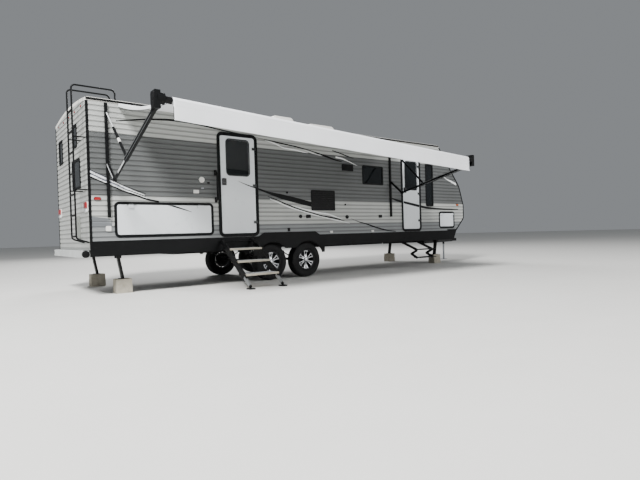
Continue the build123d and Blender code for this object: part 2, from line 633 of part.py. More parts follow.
def skirts():
    """Lower side panels, open over the wheels, with the moulded arch round each pair of wheels."""
    hole_r = TYRE_R + ARCH_GAP
    x0, x1 = WHEEL_X["rear"], WHEEL_X["front"]
    hole = Pos(x0, TYRE_R) * Circle(hole_r) + Pos(x1, TYRE_R) * Circle(hole_r)
    hole = hole + Pos((x0 + x1) / 2, ARCH_WEB_Z / 2) * Rectangle(x1 - x0, ARCH_WEB_Z)
    hole = hole + Pos((x0 + x1) / 2, TYRE_R / 2) * Rectangle(x1 - x0 + 2 * hole_r, TYRE_R)
    end0, end1 = x0 - hole_r - ARCH_BAND, x1 + hole_r + ARCH_BAND
    along, down = ARCH_SLOPE
    shoulder = ARCH_TOP - down
    arch = make_face(Polyline((end0, ARCH_LOW), (end0, shoulder), (end0 + along, ARCH_TOP),
                              (end1 - along, ARCH_TOP), (end1, shoulder), (end1, ARCH_LOW), close=True))
    pieces = []
    for sign in SIDES.values():
        outline = make_face(Polyline((0, SKIRT_BOTTOM), (SKIRT_FRONT_X, SKIRT_BOTTOM), (NOSE[-1][0], FLOOR_TOP),
                                     (0, FLOOR_TOP), close=True))
        panel = along_y(outline - hole, sign * HALF_WIDTH, sign * (HALF_WIDTH - SKIN_T))
        rim = along_y(arch - hole, sign * (HALF_WIDTH + ARCH_PROUD), sign * HALF_WIDTH)
        pieces.append(panel + rim)
    return pieces


def edge_trims():
    pieces = []
    top = SIDE_TOP - ROOF_T
    for sign in SIDES.values():
        rear = sorted((sign * (HALF_WIDTH - TRIM_W), sign * (HALF_WIDTH + TRIM_T)))
        flank = sorted((sign * HALF_WIDTH, sign * (HALF_WIDTH + TRIM_T)))
        corner = block(-TRIM_T, 0, *rear, SKIRT_BOTTOM, top)
        pieces.append(corner + block(-TRIM_T, TRIM_W, *flank, SKIRT_BOTTOM, top))
        outer = offset(body_outline(0), TRIM_T, kind=Kind.INTERSECTION)
        band = outer - body_outline(TRIM_W)
        front = make_face(Polyline((NOSE[-1][0] - 4 * FAR, FLOOR_TOP), (NOSE_X + FAR, FLOOR_TOP),
                                   (NOSE_X + FAR, top), (ROOF_LENGTH + NOSE_RUN * ROOF_T - 2 * TRIM_W, top),
                                   close=True))
        side = along_y(band & front, sign * HALF_WIDTH, sign * (HALF_WIDTH + TRIM_T))
        edge = along_y((outer - body_outline(0)) & front, sign * (HALF_WIDTH - 2 * TRIM_W), sign * HALF_WIDTH)
        pieces.append(side + edge)
        gutter = sorted((sign * HALF_WIDTH, sign * (HALF_WIDTH + GUTTER_T)))
        pieces.append(block(0, ROOF_LENGTH, *gutter, SIDE_TOP - GUTTER_H, SIDE_TOP))
    return pieces


def chassis_rails():
    """The two long I-section rails under the floor."""
    flange = RAIL_WEB
    section = Rectangle(RAIL_WEB, RAIL_H)
    for end in (-1, 1):
        section = section + Pos(0, end * (RAIL_H - flange) / 2) * Rectangle(RAIL_W, flange)
    rail = along_x(Pos(0, RAIL_TOP - RAIL_H / 2) * section, *RAIL_X)
    return [Pos(0, sign * RAIL_Y, 0) * rail for sign in SIDES.values()]


def cross_members():
    """Bars between the rails, outriggers from the rails to the side walls and the bar at the front end."""
    inner = RAIL_Y - RAIL_WEB / 2
    high = RAIL_TOP - CROSS_DROP
    pieces = []
    for x in CROSS_X:
        pieces.append(block(x - CROSS_SIZE / 2, x + CROSS_SIZE / 2, -inner, inner, high - CROSS_SIZE, high))
        if not WHEEL_X["rear"] - TYRE_R - FAR < x < WHEEL_X["front"] + TYRE_R + FAR:
            for sign in SIDES.values():
                y0, y1 = sorted((sign * (RAIL_Y + RAIL_WEB / 2), sign * (HALF_WIDTH - SKIN_T)))
                pieces.append(block(x - OUTRIGGER_W / 2, x + OUTRIGGER_W / 2, y0, y1,
                                    high, RAIL_TOP - RAIL_WEB))
    wide = RAIL_Y + RAIL_W / 2
    pieces.append(block(RAIL_X[1], RAIL_X[1] + END_BAR_W, -wide, wide, RAIL_LOW, RAIL_TOP))
    return pieces


def tow_frame():
    """The two converging bars under the rails, with their cross bar, battery tray and end plate."""
    end_x = COUPLER_X - COUPLER_LONG - COUPLER_PLATE[0]
    pieces = []
    for sign in SIDES.values():
        start = (FRAME_A_X, sign * FRAME_A_Y[0], FRAME_A_Z)
        end = (end_x + COUPLER_PLATE[0] / 4, sign * FRAME_A_Y[1], FRAME_A_Z)
        pieces.append(bar(start, end, FRAME_A_W, FRAME_A_H, (0, 1, 0)))
    share = (NOSE_X + 20 - FRAME_A_X) / (end_x - FRAME_A_X)
    wide = FRAME_A_Y[0] + share * (FRAME_A_Y[1] - FRAME_A_Y[0])
    half = FRAME_A_W / 2
    pieces.append(block(NOSE_X - 20, NOSE_X + 60, -wide, wide, FRAME_A_Z - half, FRAME_A_Z + half))
    long, tray_wide, thick = BATTERY_TRAY
    pieces.append(block(BATTERY_X, BATTERY_X + long, -tray_wide / 2, tray_wide / 2, RAIL_LOW - thick, RAIL_LOW))
    pieces.append(block(end_x, end_x + COUPLER_PLATE[0], -COUPLER_PLATE[1], COUPLER_PLATE[1],
                        FRAME_A_Z - FRAME_A_H / 2, FRAME_A_Z + FRAME_A_H / 2))
    return fuse(pieces)


def coupler():
    low, high = COUPLER_Z
    shell = block(COUPLER_X - COUPLER_LONG, COUPLER_X, -COUPLER_R, COUPLER_R, FRAME_A_Z + low, FRAME_A_Z + high)
    nose = Pos(COUPLER_X, 0, FRAME_A_Z + (low + high) / 2) * Cylinder(COUPLER_R, high - low)
    bore = Pos(COUPLER_X, 0, FRAME_A_Z + low - 20) * Cylinder(BALL_R, 160)
    return (shell + nose) - bore


def tyre_ring(centre_x, sign):
    half = TYRE_W / 2
    points = [(RIM_R, -half * 0.78), (RIM_LIP_R, -half * 0.78), (RIM_R + 60, -half * 0.99), (RIM_R + 95, -half),
              (TYRE_R - 22, -half * 0.9), (TYRE_R - 4, -half * 0.74), (TYRE_R, -half * 0.4)]
    outline = points + [(r, -y) for r, y in reversed(points)]
    face = Plane.XY * make_face(Polyline(*outline, close=True))
    ring = revolve(face, Axis.Y)
    return Pos(centre_x, sign * TYRE_Y, TYRE_R) * ring


def rim_disc(centre_x, sign):
    """A cast wheel: barrel, split spokes and hub, with the brake drum behind them."""
    half = RIM_W / 2
    edge = half + RIM_FLANGE_T
    lip = RIM_LIP_R - 5
    inside = RIM_R - BARREL_T
    barrel_face = make_face(Polyline((RIM_R, -half), (RIM_R, half), (lip, half), (lip, edge), (inside, edge),
                                     (inside, -edge), (lip, -edge), (lip, -half), close=True))
    barrel = revolve(barrel_face, Axis.Y)
    face_y = half - HUB_W / 2
    pieces = [barrel, Pos(0, face_y, 0) * Rot(X=90) * Cylinder(HUB_R, HUB_W)]
    for index in range(SPOKES):
        for lean in (-SPOKE_SPLIT, SPOKE_SPLIT):
            start, end = HUB_R - SPOKE_SUNK[0], inside + SPOKE_SUNK[1]
            spoke = Pos((start + end) / 2, face_y, 0) * Box(end - start, SPOKE_W, SPOKE_T)
            pieces.append(Rot(Y=360 / SPOKES * index + lean) * spoke)
    pieces.append(Pos(0, -half + DRUM_W / 2 - DRUM_PROUD, 0) * Rot(X=90) * Cylinder(DRUM_R, DRUM_W))
    pieces.append(Rot(X=90) * Cylinder(SPINDLE_R, RIM_W - 2 * DRUM_PROUD))
    rim = fuse(pieces)
    if sign < 0:
        rim = Rot(Z=180) * rim
    return Pos(centre_x, sign * TYRE_Y, TYRE_R) * rim


def axles():
    pieces = []
    inner = TYRE_Y - RIM_W / 2 - DRUM_PROUD - SEAT
    for x in WHEEL_X.values():
        tube = rod((x, -inner, TYRE_R), (x, inner, TYRE_R), AXLE_R)
        for sign in SIDES.values():
            pad = Box(3 * AXLE_R, SPRING_W + AXLE_R, AXLE_R + PAD_T)
            tube = tube + Pos(x, sign * SPRING_Y, TYRE_R + (AXLE_R + PAD_T) / 2) * pad
            y0, y1 = sorted((sign * (inner - 14), sign * inner))
            tube = tube + rod((x, y0, TYRE_R), (x, y1, TYRE_R), DRUM_R - PAD_T)
        pieces.append(tube)
    return pieces


def leaf_springs():
    """Slipper springs over the axles, hung from the rails with an equaliser between them."""
    pieces = []
    seat = TYRE_R + AXLE_R + PAD_T + SEAT
    middle = (WHEEL_X["rear"] + WHEEL_X["front"]) / 2
    eye_z = seat + SPRING_CAMBER
    top_half, low_half = HANGER_W[0] / 2, HANGER_W[1] / 2
    for sign in SIDES.values():
        y0, y1 = sorted((sign * (SPRING_Y - SPRING_W / 2), sign * (SPRING_Y + SPRING_W / 2)))
        out0, out1 = y0 - HANGER_T, y1 + HANGER_T
        parts = []
        for x in WHEEL_X.values():
            for layer in range(SPRING_LEAVES):
                half = SPRING_HALF - SPRING_STEP * layer
                rise = SPRING_CAMBER * (half / SPRING_HALF) ** 2
                thick = SPRING_T / SPRING_LEAVES
                low = seat + SPRING_T - thick * (layer + 1)
                under = ThreePointArc((x - half, low + rise), (x, low), (x + half, low + rise))
                over = ThreePointArc((x + half, low + rise + thick), (x, low + thick),
                                     (x - half, low + rise + thick))
                face = make_face([under, Line(under @ 1, over @ 0), over, Line(over @ 1, under @ 0)])
                parts.append(along_y(face, y0, y1))
            for end in (-1, 1):
                eye_x, level = x + end * SPRING_HALF, eye_z + SPRING_T - 4
                parts.append(rod((eye_x, y0, level), (eye_x, y1, level), SPRING_EYE_R))
        for x, low in ((WHEEL_X["rear"] - SPRING_HALF, eye_z), (middle, eye_z + HANGER_RISE),
                       (WHEEL_X["front"] + SPRING_HALF, eye_z)):
            pin = low + PIN_RISE
            hanger = make_face(Polyline((x - top_half, RAIL_LOW), (x + top_half, RAIL_LOW), (x + low_half, low),
                                        (x - low_half, low), close=True))
            parts.append(along_y(hanger, out0, y0))
            parts.append(along_y(hanger, y1, out1))
            parts.append(rod((x, out0, pin), (x, out1, pin), SPRING_EYE_R / 2))
        foot, shoulder, top, top_in = (eye_z + ROCKER[0], eye_z + ROCKER[1], eye_z + ROCKER[2], ROCKER[3])
        rocker = make_face(Polyline((middle - ROCKER_HALF, foot), (middle + ROCKER_HALF, foot),
                                    (middle + ROCKER_HALF, shoulder), (middle + top_in, top),
                                    (middle - top_in, top), (middle - ROCKER_HALF, shoulder), close=True))
        parts.append(along_y(rocker, y0, y1))
        pieces.append(fuse(parts))
    return pieces


def awning_frame():
    """Wall channels, folding arms, knees and gas struts of the awning."""
    pieces = []
    face = -HALF_WIDTH
    half = CHANNEL_W / 2
    pin_y = face - CHANNEL_T + 8
    for end, x in AWNING_X.items():
        knee = (x, KNEE_Y, KNEE_Z[end])
        head = (x, HEAD_Y + ARM_END[0], HEAD_Z[end] - ARM_END[1])
        pivot = (x, pin_y, KNEE_Z[end] + CHANNEL_PIVOT_RISE)
        parts = [block(x - half, x + half, face - CHANNEL_T, face, CHANNEL_LOW, SIDE_TOP - CANOPY_DROP - 16)]
        parts.append(rod((x - half, *pivot[1:]), (x + half, *pivot[1:]), LOWER_ARM[0] / 2))
        parts.append(bar(pivot, knee, *UPPER_ARM, (1, 0, 0)))
        parts.append(rod((x - half - 2, *knee[1:]), (x + half + 2, *knee[1:]), KNEE_R))
        arm = Vector(*head) - Vector(*knee)
        start = Vector(*knee) + arm * SLIDE_SHARE
        inside = start + arm.normalized() * SLIDE_IN
        parts.append(bar(knee, tuple(inside), *SLIDE_ARM, (1, 0, 0)))
        parts.append(bar(tuple(start), head, *LOWER_ARM, (1, 0, 0)))
        meet = Vector(*knee) + arm * STRUT_SHARE
        top = Vector(x, pin_y, SIDE_TOP - STRUT_DROP)
        barrel = top + (meet - top) * STRUT_ROD_SHARE
        parts.append(rod(tuple(top), tuple(meet), STRUT_R[0]))
        parts.append(rod(tuple(barrel), tuple(meet), STRUT_R[1]))
        parts.append(rod((x - half, meet.Y, meet.Z), (x + half, meet.Y, meet.Z), half))
        thick, back, rise, drop = HEAD_PLATE
        level = HEAD_Z[end]
        parts.append(block(x - thick / 2, x + thick / 2, HEAD_Y - HEAD_CAP[0] + HEAD_EDGE, HEAD_Y + back,
                           level - drop, level + rise))
        cap = x + (HEAD_CAP[1] + thick / 2) * (1 if end == "rear" else -1)
        parts.append(rod((x, HEAD_Y, level), (cap, HEAD_Y, level), HEAD_CAP[0]))
        pieces.append(fuse(parts))
    return pieces


def roller_line(x):
    share = (x - AWNING_X["rear"]) / (AWNING_X["front"] - AWNING_X["rear"])
    return HEAD_Z["rear"] + share * (HEAD_Z["front"] - HEAD_Z["rear"])


def awning_roller():
    gap = HEAD_PLATE[0] / 2 + HEAD_CAP[1] + SEAT
    x0, x1 = AWNING_X["rear"] + gap, AWNING_X["front"] - gap
    tube = rod((x0 - FAR, HEAD_Y, roller_line(x0 - FAR)), (x1 + FAR, HEAD_Y, roller_line(x1 + FAR)), ROLLER_R)
    return tube & block(x0, x1, HEAD_Y - FAR, HEAD_Y + FAR, 0, SIDE_TOP)


def canopy_section(x, wall_z):
    """The canopy at one X: a sagging sheet that passes over the roller and hangs as a valance."""
    near = -HALF_WIDTH - GUTTER_T - 2
    centre = roller_line(x)
    inner = ROLLER_R + SEAT + 0.5
    outer = inner + CANOPY_T
    mid_y = (near + HEAD_Y) / 2
    mid_z = (wall_z + centre + outer) / 2 - CANOPY_SAG
    turn = math.sqrt(0.5)
    upper = [ThreePointArc((near, wall_z), (mid_y, mid_z), (HEAD_Y, centre + outer)),
             ThreePointArc((HEAD_Y, centre + outer), (HEAD_Y - outer * turn, centre + outer * turn),
                           (HEAD_Y - outer, centre))]
    down = Polyline((HEAD_Y - outer, centre), (HEAD_Y - outer, centre - VALANCE_DROP),
                    (HEAD_Y - inner, centre - VALANCE_DROP), (HEAD_Y - inner, centre))
    lower = [ThreePointArc((HEAD_Y - inner, centre), (HEAD_Y - inner * turn, centre + inner * turn),
                           (HEAD_Y, centre + inner)),
             ThreePointArc((HEAD_Y, centre + inner), (mid_y, mid_z - CANOPY_T), (near, wall_z - CANOPY_T)),
             Line((near, wall_z - CANOPY_T), (near, wall_z))]
    face = make_face(upper + down.edges() + lower)
    return Plane(origin=(x, 0, 0), x_dir=(0, 1, 0), z_dir=(1, 0, 0)) * face


def awning_canopy():
    wall_z = SIDE_TOP - CANOPY_DROP
    return loft([canopy_section(CANOPY_X[0], wall_z), canopy_section(CANOPY_X[1], wall_z)], ruled=True)


def roof_height(y):
    """Height of the crowned roof at a distance y from the middle."""
    radius = (HALF_WIDTH ** 2 + ROOF_RISE ** 2) / (2 * ROOF_RISE)
    return SIDE_TOP + ROOF_RISE - radius + math.sqrt(radius ** 2 - y ** 2)


def ladder():
    pieces = []
    foot_r, foot_h = LADDER_FOOT
    for y in LADDER_Y:
        path = FilletPolyline((-SEAT - TRIM_T, y, LADDER_FOOT_Z), (LADDER_X, y, LADDER_FOOT_Z + LADDER_BEND),
                              (LADDER_X, y, LADDER_TOP_Z), (LADDER_REACH, y, LADDER_TOP_Z),
                              (LADDER_REACH, y, roof_height(y) + SKIN_T), radius=LADDER_BEND)
        pieces.append(sweep(Plane(origin=path @ 0, z_dir=path % 0) * Circle(LADDER_R), path))
        foot = Pos(LADDER_REACH, y, roof_height(y)) * Cylinder(foot_r, foot_h)
        pieces.append(foot - along_x(roof_section(-SEAT), LADDER_REACH - FAR, LADDER_REACH + FAR))
        for level in STANDOFF_Z:
            pieces.append(rod((LADDER_X, y, level), (-TRIM_T - SEAT, y, level), STANDOFF_R))
    for index in range(RUNGS):
        z = RUNG_Z + RUNG_PITCH * index
        pieces.append(rod((LADDER_X, LADDER_Y[0], z), (LADDER_X, LADDER_Y[1], z), RUNG_R))
    return fuse(pieces)


def grab_handle():
    x, y = HANDLE_X, -HALF_WIDTH
    low, high = HANDLE_Z
    path = FilletPolyline((x, y, low), (x, y - HANDLE_OUT, low), (x, y - HANDLE_OUT, high), (x, y, high),
                          radius=HANDLE_BEND)
    return sweep(Plane(origin=path @ 0, z_dir=path % 0) * Circle(HANDLE_R), path)


def roof_fittings():
    top = SIDE_TOP + ROOF_RISE
    units = []
    for x0, x1, rise in ROOF_UNITS:
        shell = block(x0, x1, -ROOF_UNIT_HALF, ROOF_UNIT_HALF, top - RAIL_WEB, top + rise)
        shell = chamfer(shell.edges().group_by(Axis.Z)[-1], ROOF_UNIT_EDGE)
        units.append(shell - along_x(roof_section(-SEAT), x0 - FAR, x1 + FAR))
    vents = []
    for x in ROOF_VENT_X:
        cover = block(x - ROOF_VENT_HALF, x + ROOF_VENT_HALF, -ROOF_VENT_HALF, ROOF_VENT_HALF,
                      top - RAIL_WEB, top + ROOF_VENT_H)
        vents.append(cover - along_x(roof_section(-SEAT), x - 3 * FAR, x + 3 * FAR))
    return units, vents


def lamps():
    pieces = []
    wide, low, high, proud = TAIL_LAMP
    for y in (-TAIL_LAMP_Y, TAIL_LAMP_Y):
        pieces.append(along_x(rounded(y - wide / 2, y + wide / 2, low, high, wide / 6), -proud, 0))
    wide, tall, proud = SIDE_LAMP
    for sign in SIDES.values():
        for x, z in SIDE_LAMPS:
            outline = rounded(x - wide / 2, x + wide / 2, z - tall / 2, z + tall / 2, tall / 3)
            pieces.append(along_y(outline, sign * HALF_WIDTH, sign * (HALF_WIDTH + proud)))
    wide, tall, proud = TOP_LAMP
    for index in (-2, -1, 0, 1, 2):
        y = index * TOP_LAMP_APART
        outline = rounded(y - wide / 2, y + wide / 2, TOP_LAMP_Z - tall / 2, TOP_LAMP_Z + tall / 2, tall / 3)
        pieces.append(along_x(outline, -proud, 0))
    return pieces


def black_vents():
    """The slotted panel over the wheels and the hood of the cooker vent, on the camp side."""
    face = -HALF_WIDTH
    x0, x1, z0, z1 = LOUVRE
    panel = along_y(rounded(x0, x1, z0, z1, 20), face, face - LOUVRE_T)
    for index in range(LOUVRE_SLOTS):
        z = z0 + LOUVRE_PITCH * (index + 1)
        panel = panel - block(x0 + 25, x1 - 25, face - LOUVRE_T - 1, face - 4, z, z + LOUVRE_PITCH / 2)
    return [panel, along_y(rounded(*HOOD_VENT, 12), face, face - HOOD_VENT_T)]


def white_hatches():
    pieces = []
    for wall, a0, a1, z0, z1, out in HATCHES:
        outline = rounded(a0, a1, z0, z1, HATCH_R)
        if wall == "rear":
            pieces.append(along_x(outline, -out, 0))
        else:
            sign = SIDES[wall]
            pieces.append(along_y(outline, sign * HALF_WIDTH, sign * (HALF_WIDTH + out)))
    return pieces


def bumper():
    thick, tall = BUMPER_SIZE
    tube = Pos(-BUMPER_OUT, 0, BUMPER_Z) * Box(thick, 2 * BUMPER_END, tall)
    cap_r, cap_t = BUMPER_CAP
    for sign in SIDES.values():
        y0, y1 = sorted((sign * BUMPER_END, sign * (BUMPER_END + cap_t)))
        tube = tube + rod((-BUMPER_OUT, y0, BUMPER_Z), (-BUMPER_OUT, y1, BUMPER_Z), cap_r)
        y0, y1 = sign * RAIL_Y - FRAME_A_W / 2, sign * RAIL_Y + FRAME_A_W / 2
        tube = tube + block(-BUMPER_OUT, RAIL_X[0] - SEAT, y0, y1, SKIRT_BOTTOM + BUMPER_TIE[0],
                            SKIRT_BOTTOM + BUMPER_TIE[1])
    return tube


def stabilizer_bracket(name):
    x, side, _ = LEGS[name]
    y = SIDES[side] * LEG_Y
    half, thick = BRACKET_PLATE[0] / 2, BRACKET_PLATE[1]
    pieces = [block(x - half, x + half, y - BRACKET_HALF, y + BRACKET_HALF, RAIL_LOW - thick, RAIL_LOW)]
    ear_half, ear_t = BRACKET_EAR[0] / 2, BRACKET_EAR[1]
    out = BRACKET_HALF - ear_t
    for low in (y - out, y + out - ear_t):
        pieces.append(block(x - ear_half, x + ear_half, low, low + ear_t, LEG_PIVOT_Z - BRACKET_DROP, RAIL_LOW))
    pieces.append(rod((x, y - out, LEG_PIVOT_Z), (x, y + out, LEG_PIVOT_Z), LEG_PIN_R))
    return fuse(pieces)


def stabilizer_leg(name):
    """One leg: a bar with a pivot eye at its top and a foot plate on its support block."""
    x, side, lean = LEGS[name]
    y = SIDES[side] * LEG_Y
    half = LEG_W / 2
    foot_x, foot_z = x + lean * LEG_REACH, LEG_FOOT_Z + LEG_EYE_R + 4
    leg = bar((x, y, LEG_PIVOT_Z), (foot_x, y, foot_z), LEG_W, LEG_D, (0, 1, 0))
    for eye_x, eye_z in ((x, LEG_PIVOT_Z), (foot_x, foot_z)):
        leg = leg + rod((eye_x, y - half, eye_z), (eye_x, y + half, eye_z), LEG_EYE_R)
    long, wide, thick = LEG_PAD
    leg = leg + block(foot_x - long / 2, foot_x + long / 2, y - wide / 2, y + wide / 2,
                      LEG_FOOT_Z, LEG_FOOT_Z + thick)
    leg = leg + block(foot_x - LEG_FOOT_HALF, foot_x + LEG_FOOT_HALF, y - half, y + half,
                      LEG_FOOT_Z + 1, LEG_FOOT_Z + LEG_EYE_R)
    return leg - rod((x, y - LEG_W, LEG_PIVOT_Z), (x, y + LEG_W, LEG_PIVOT_Z), LEG_PIN_R + SEAT)


def support_blocks():
    pieces = []
    long, wide, tall = BLOCK_SIZE
    for x, side, lean in LEGS.values():
        y = SIDES[side] * LEG_Y
        foot_x = x + lean * LEG_REACH
        lower = block(foot_x - long / 2, foot_x + long / 2, y - wide / 2, y + wide / 2, 0, tall)
        half_x, half_y = long / 2 - BLOCK_CAP_IN, wide / 2 - BLOCK_CAP_IN
        pieces.append(lower + block(foot_x - half_x, foot_x + half_x, y - half_y, y + half_y, tall, LEG_FOOT_Z))
    return pieces


def tongue_jack_tube():
    outer_r, bore_r, long = JACK_TUBE
    flange_r, flange_t = JACK_FLANGE
    top = FRAME_A_Z + FRAME_A_H / 2
    head_x, head_y, head_z = JACK_HEAD
    middle = FRAME_A_Z + JACK_TUBE_Z
    tube = Pos(TONGUE_JACK_X, 0, middle) * Cylinder(outer_r, long)
    tube = tube + Pos(TONGUE_JACK_X, 0, top + flange_t / 2) * Cylinder(flange_r, flange_t)
    tube = tube + block(TONGUE_JACK_X - head_x / 2, TONGUE_JACK_X + head_x / 2, -head_y / 2, head_y / 2,
                        middle + long / 2 - 40, middle + long / 2 - 40 + head_z)
    half = JACK_SEAT / 2
    tube = tube + block(TONGUE_JACK_X - half, TONGUE_JACK_X + half, -2 * flange_r, 2 * flange_r,
                        top, top + flange_t)
    return tube - Pos(TONGUE_JACK_X, 0, middle - 20) * Cylinder(bore_r, long - 20)


def tongue_jack_leg():
    foot_r, foot_t = JACK_FOOT
    low, high = foot_t - 4, FRAME_A_Z + JACK_LEG_IN
    leg = Pos(TONGUE_JACK_X, 0, (low + high) / 2) * Cylinder(JACK_LEG_R, high - low)
    return leg + Pos(TONGUE_JACK_X, 0, foot_t / 2) * Cylinder(foot_r, foot_t)


def gas_bottles():
    """Two bottles with their valve collars, and the tray they stand on."""
    tray_long, tray_wide, tray_t = BOTTLE_TRAY
    low = RAIL_LOW + tray_t
    collar_r, collar_in, collar_h = COLLAR
    valve_r, valve_h = BOTTLE_VALVE
    pieces = []
    for y in (-BOTTLE_Y, BOTTLE_Y):
        body = Pos(BOTTLE_X, y, low + BOTTLE_H / 2) * Cylinder(BOTTLE_R, BOTTLE_H)
        body = fillet(body.edges().filter_by(GeomType.CIRCLE), BOTTLE_ROUND)
        ring = Cylinder(collar_r, collar_h) - Cylinder(collar_in, 2 * collar_h)
        valve = Pos(BOTTLE_X, y, low + BOTTLE_H + 5) * Cylinder(valve_r, valve_h)
        pieces.append(body + Pos(BOTTLE_X, y, low + BOTTLE_H + 35) * ring + valve)
    tray = block(BOTTLE_X - tray_long / 2, BOTTLE_X + tray_long / 2, -tray_wide / 2, tray_wide / 2,
                 RAIL_LOW, low - SEAT)
    return pieces + [tray]


def battery_box():
    long, wide, tall = BATTERY_SIZE
    return block(BATTERY_X + 5, BATTERY_X + 5 + long, -wide / 2, wide / 2, RAIL_LOW + SEAT, RAIL_LOW + tall)


def entry_steps():
    """Steps at the rear door, hung at the threshold: deep side plates, sliding legs and feet on the ground."""
    x0, x1 = STEP_X
    hinge_y, hinge_z = STEP_HINGE
    foot_y, foot_z = STEP_FOOT
    width, depth = STEP_RAIL
    half = width / 2
    shoe_x, shoe_y, shoe_t = STEP_SHOE
    plate_deep, plate_from, plate_to = STEP_PLATE
    run, fall = foot_y - hinge_y, foot_z - hinge_z
    pieces = []
    for x in (x0, x1):
        pieces.append(bar((x, hinge_y, hinge_z), (x, foot_y, foot_z), width, depth, (1, 0, 0)))
        ends = [(x, hinge_y + share * run, hinge_z + share * fall) for share in (plate_from, plate_to)]
        pieces.append(bar(*ends, width, plate_deep, (1, 0, 0)))
        pieces.append(Pos(x, foot_y, shoe_t / 2) * Box(shoe_x, shoe_y, shoe_t))
        pieces.append(rod((x - half, hinge_y, hinge_z), (x + half, hinge_y, hinge_z), STEP_EYE_R))
    tread, thick = STEP_TREAD
    for share in STEP_SHARES:
        y = hinge_y + share * run
        z = hinge_z + share * fall + STEP_TREAD_RISE
        pieces.append(block(x0 - 10, x1 + 10, y - tread / 2, y + tread / 2, z - thick, z))
    pin = rod((x0 - FAR, hinge_y, hinge_z), (x1 + FAR, hinge_y, hinge_z), STEP_PIN_R)
    return fuse(pieces) - pin


def step_bracket():
    x0, x1 = STEP_X
    hinge_y, hinge_z = STEP_HINGE
    half = STEP_RAIL[0] / 2
    inner = half + 6
    bracket = rod((x0 - half, hinge_y, hinge_z), (x1 + half, hinge_y, hinge_z), STEP_PIN_R - SEAT)
    for x in (x0 + inner, x1 - inner - STEP_EAR_T):
        bracket = bracket + block(x, x + STEP_EAR_T, hinge_y - 20, -HALF_WIDTH, hinge_z - 30, hinge_z + 35)
    return bracket


def front_steps():
    """Double fold-out steps under the front door, hung from the floor."""
    thick, deep = FOLD_STEP_BAR
    tread, tread_t = FOLD_TREAD
    high, middle, low = FOLD_STEP_Z
    near, out = FOLD_STEP_Y, FOLD_STEP_Y - FOLD_STEP_OUT
    back, between = out + FOLD_STEP_BACK, (middle + low) / 2
    x0, x1 = FOLD_STEP_X
    pieces = []
    for x in (x0, x1):
        pieces.append(bar((x, near, high), (x, out, middle), thick, deep, (1, 0, 0)))
        pieces.append(bar((x, out, middle), (x, back, between), thick, deep, (1, 0, 0)))
        pieces.append(bar((x, back, between), (x, out, low), thick, deep, (1, 0, 0)))
        pieces.append(rod((x - thick / 2, back, between), (x + thick / 2, back, between), deep / 2))
        pieces.append(block(x - thick / 2, x + thick / 2, near - deep / 2, near + deep,
                            high - deep / 2, RAIL_TOP))
    for z in (middle, low):
        pieces.append(block(x0 - thick / 2, x1 + thick / 2, out - tread / 2, out + tread / 2, z, z + tread_t))
    return fuse(pieces)


def tanks():
    gap = CROSS_SIZE + 10
    pieces = []
    for first, last in ((1, 2), (4, 5), (5, 6)):
        pieces.append(block(CROSS_X[first] + gap, CROSS_X[last] - gap, -TANK_WIDE, TANK_WIDE,
                            RAIL_TOP - TANK_H, RAIL_TOP))
    return pieces


def main():
    os.makedirs("parts", exist_ok=True)
    save("wall_camp", side_wall("camp"))
    save("wall_road", side_wall("road"))
    save("wall_rear", rear_wall())
    save("wall_front", front_wall())
    save("roof", roof())
    save("floor", block(SKIN_T, FLOOR_FRONT_X, -HALF_WIDTH + SKIN_T, HALF_WIDTH - SKIN_T,
                        FLOOR_TOP - FLOOR_T, FLOOR_TOP))
    save("siding_camp", side_siding("camp"))
    save("siding_road", side_siding("road"))
    save("siding_rear", rear_siding())
    save("skirts", *skirts())
    save("edge_trims", *edge_trims())
    save("chassis_rails", *chassis_rails())
    save("cross_members", *cross_members())
    save("tow_frame", tow_frame())
    save("coupler", coupler())
    save("bumper", bumper())
    save("axles", *axles())
    save("leaf_springs", *leaf_springs())
    save("tanks", *tanks())
    frames, panes = window_parts()
    doors = [entry_frame(which) for which in ENTRY] + [baggage_frame(name) for name in BAGGAGE]
    save("opening_frames", *frames, *doors)
    save("window_glass", *panes)
    for which in ENTRY:
        save(f"entry_door_{which}", entry_door(which))
        save(f"entry_glass_{which}", entry_glass(which))
    for name in BAGGAGE:
        save(name, baggage_leaf(name))
    for side, sign in SIDES.items():
        for which, x in WHEEL_X.items():
            save(f"tyre_{which}_{side}", tyre_ring(x, sign))
            save(f"rim_{which}_{side}", rim_disc(x, sign))
    save("awning_frame", *awning_frame())
    save("awning_roller", awning_roller())
    save("awning_canopy", awning_canopy())
    save("ladder", ladder())
    save("grab_handle", grab_handle())
    units, vents = roof_fittings()
    save("roof_air_units", *units)
    save("roof_vents", *vents)
    save("lamps", *lamps())
    save("black_vents", *black_vents())
    save("white_hatches", *white_hatches())
    save("stabilizer_brackets", *[stabilizer_bracket(name) for name in LEGS])
    for name in LEGS:
        save(name, stabilizer_leg(name))
    save("support_blocks", *support_blocks())
    save("tongue_jack_tube", tongue_jack_tube())
    save("tongue_jack_leg", tongue_jack_leg())
    save("gas_bottles", *gas_bottles())
    save("battery_box", battery_box())
    save("entry_steps", entry_steps())
    save("step_brackets", step_bracket())
    save("front_steps", front_steps())


main()
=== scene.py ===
"""Finishes, wheels, awning cloth and small fittings for a packed travel caravan.

Every length in this file is in metres, in the body's own measures: X runs forward from the rear
wall, Y is zero in the middle with the camp side negative, and Z is zero on the ground. The shift
to the part's origin is made in one place, where a mesh is put into the scene.
"""

import math

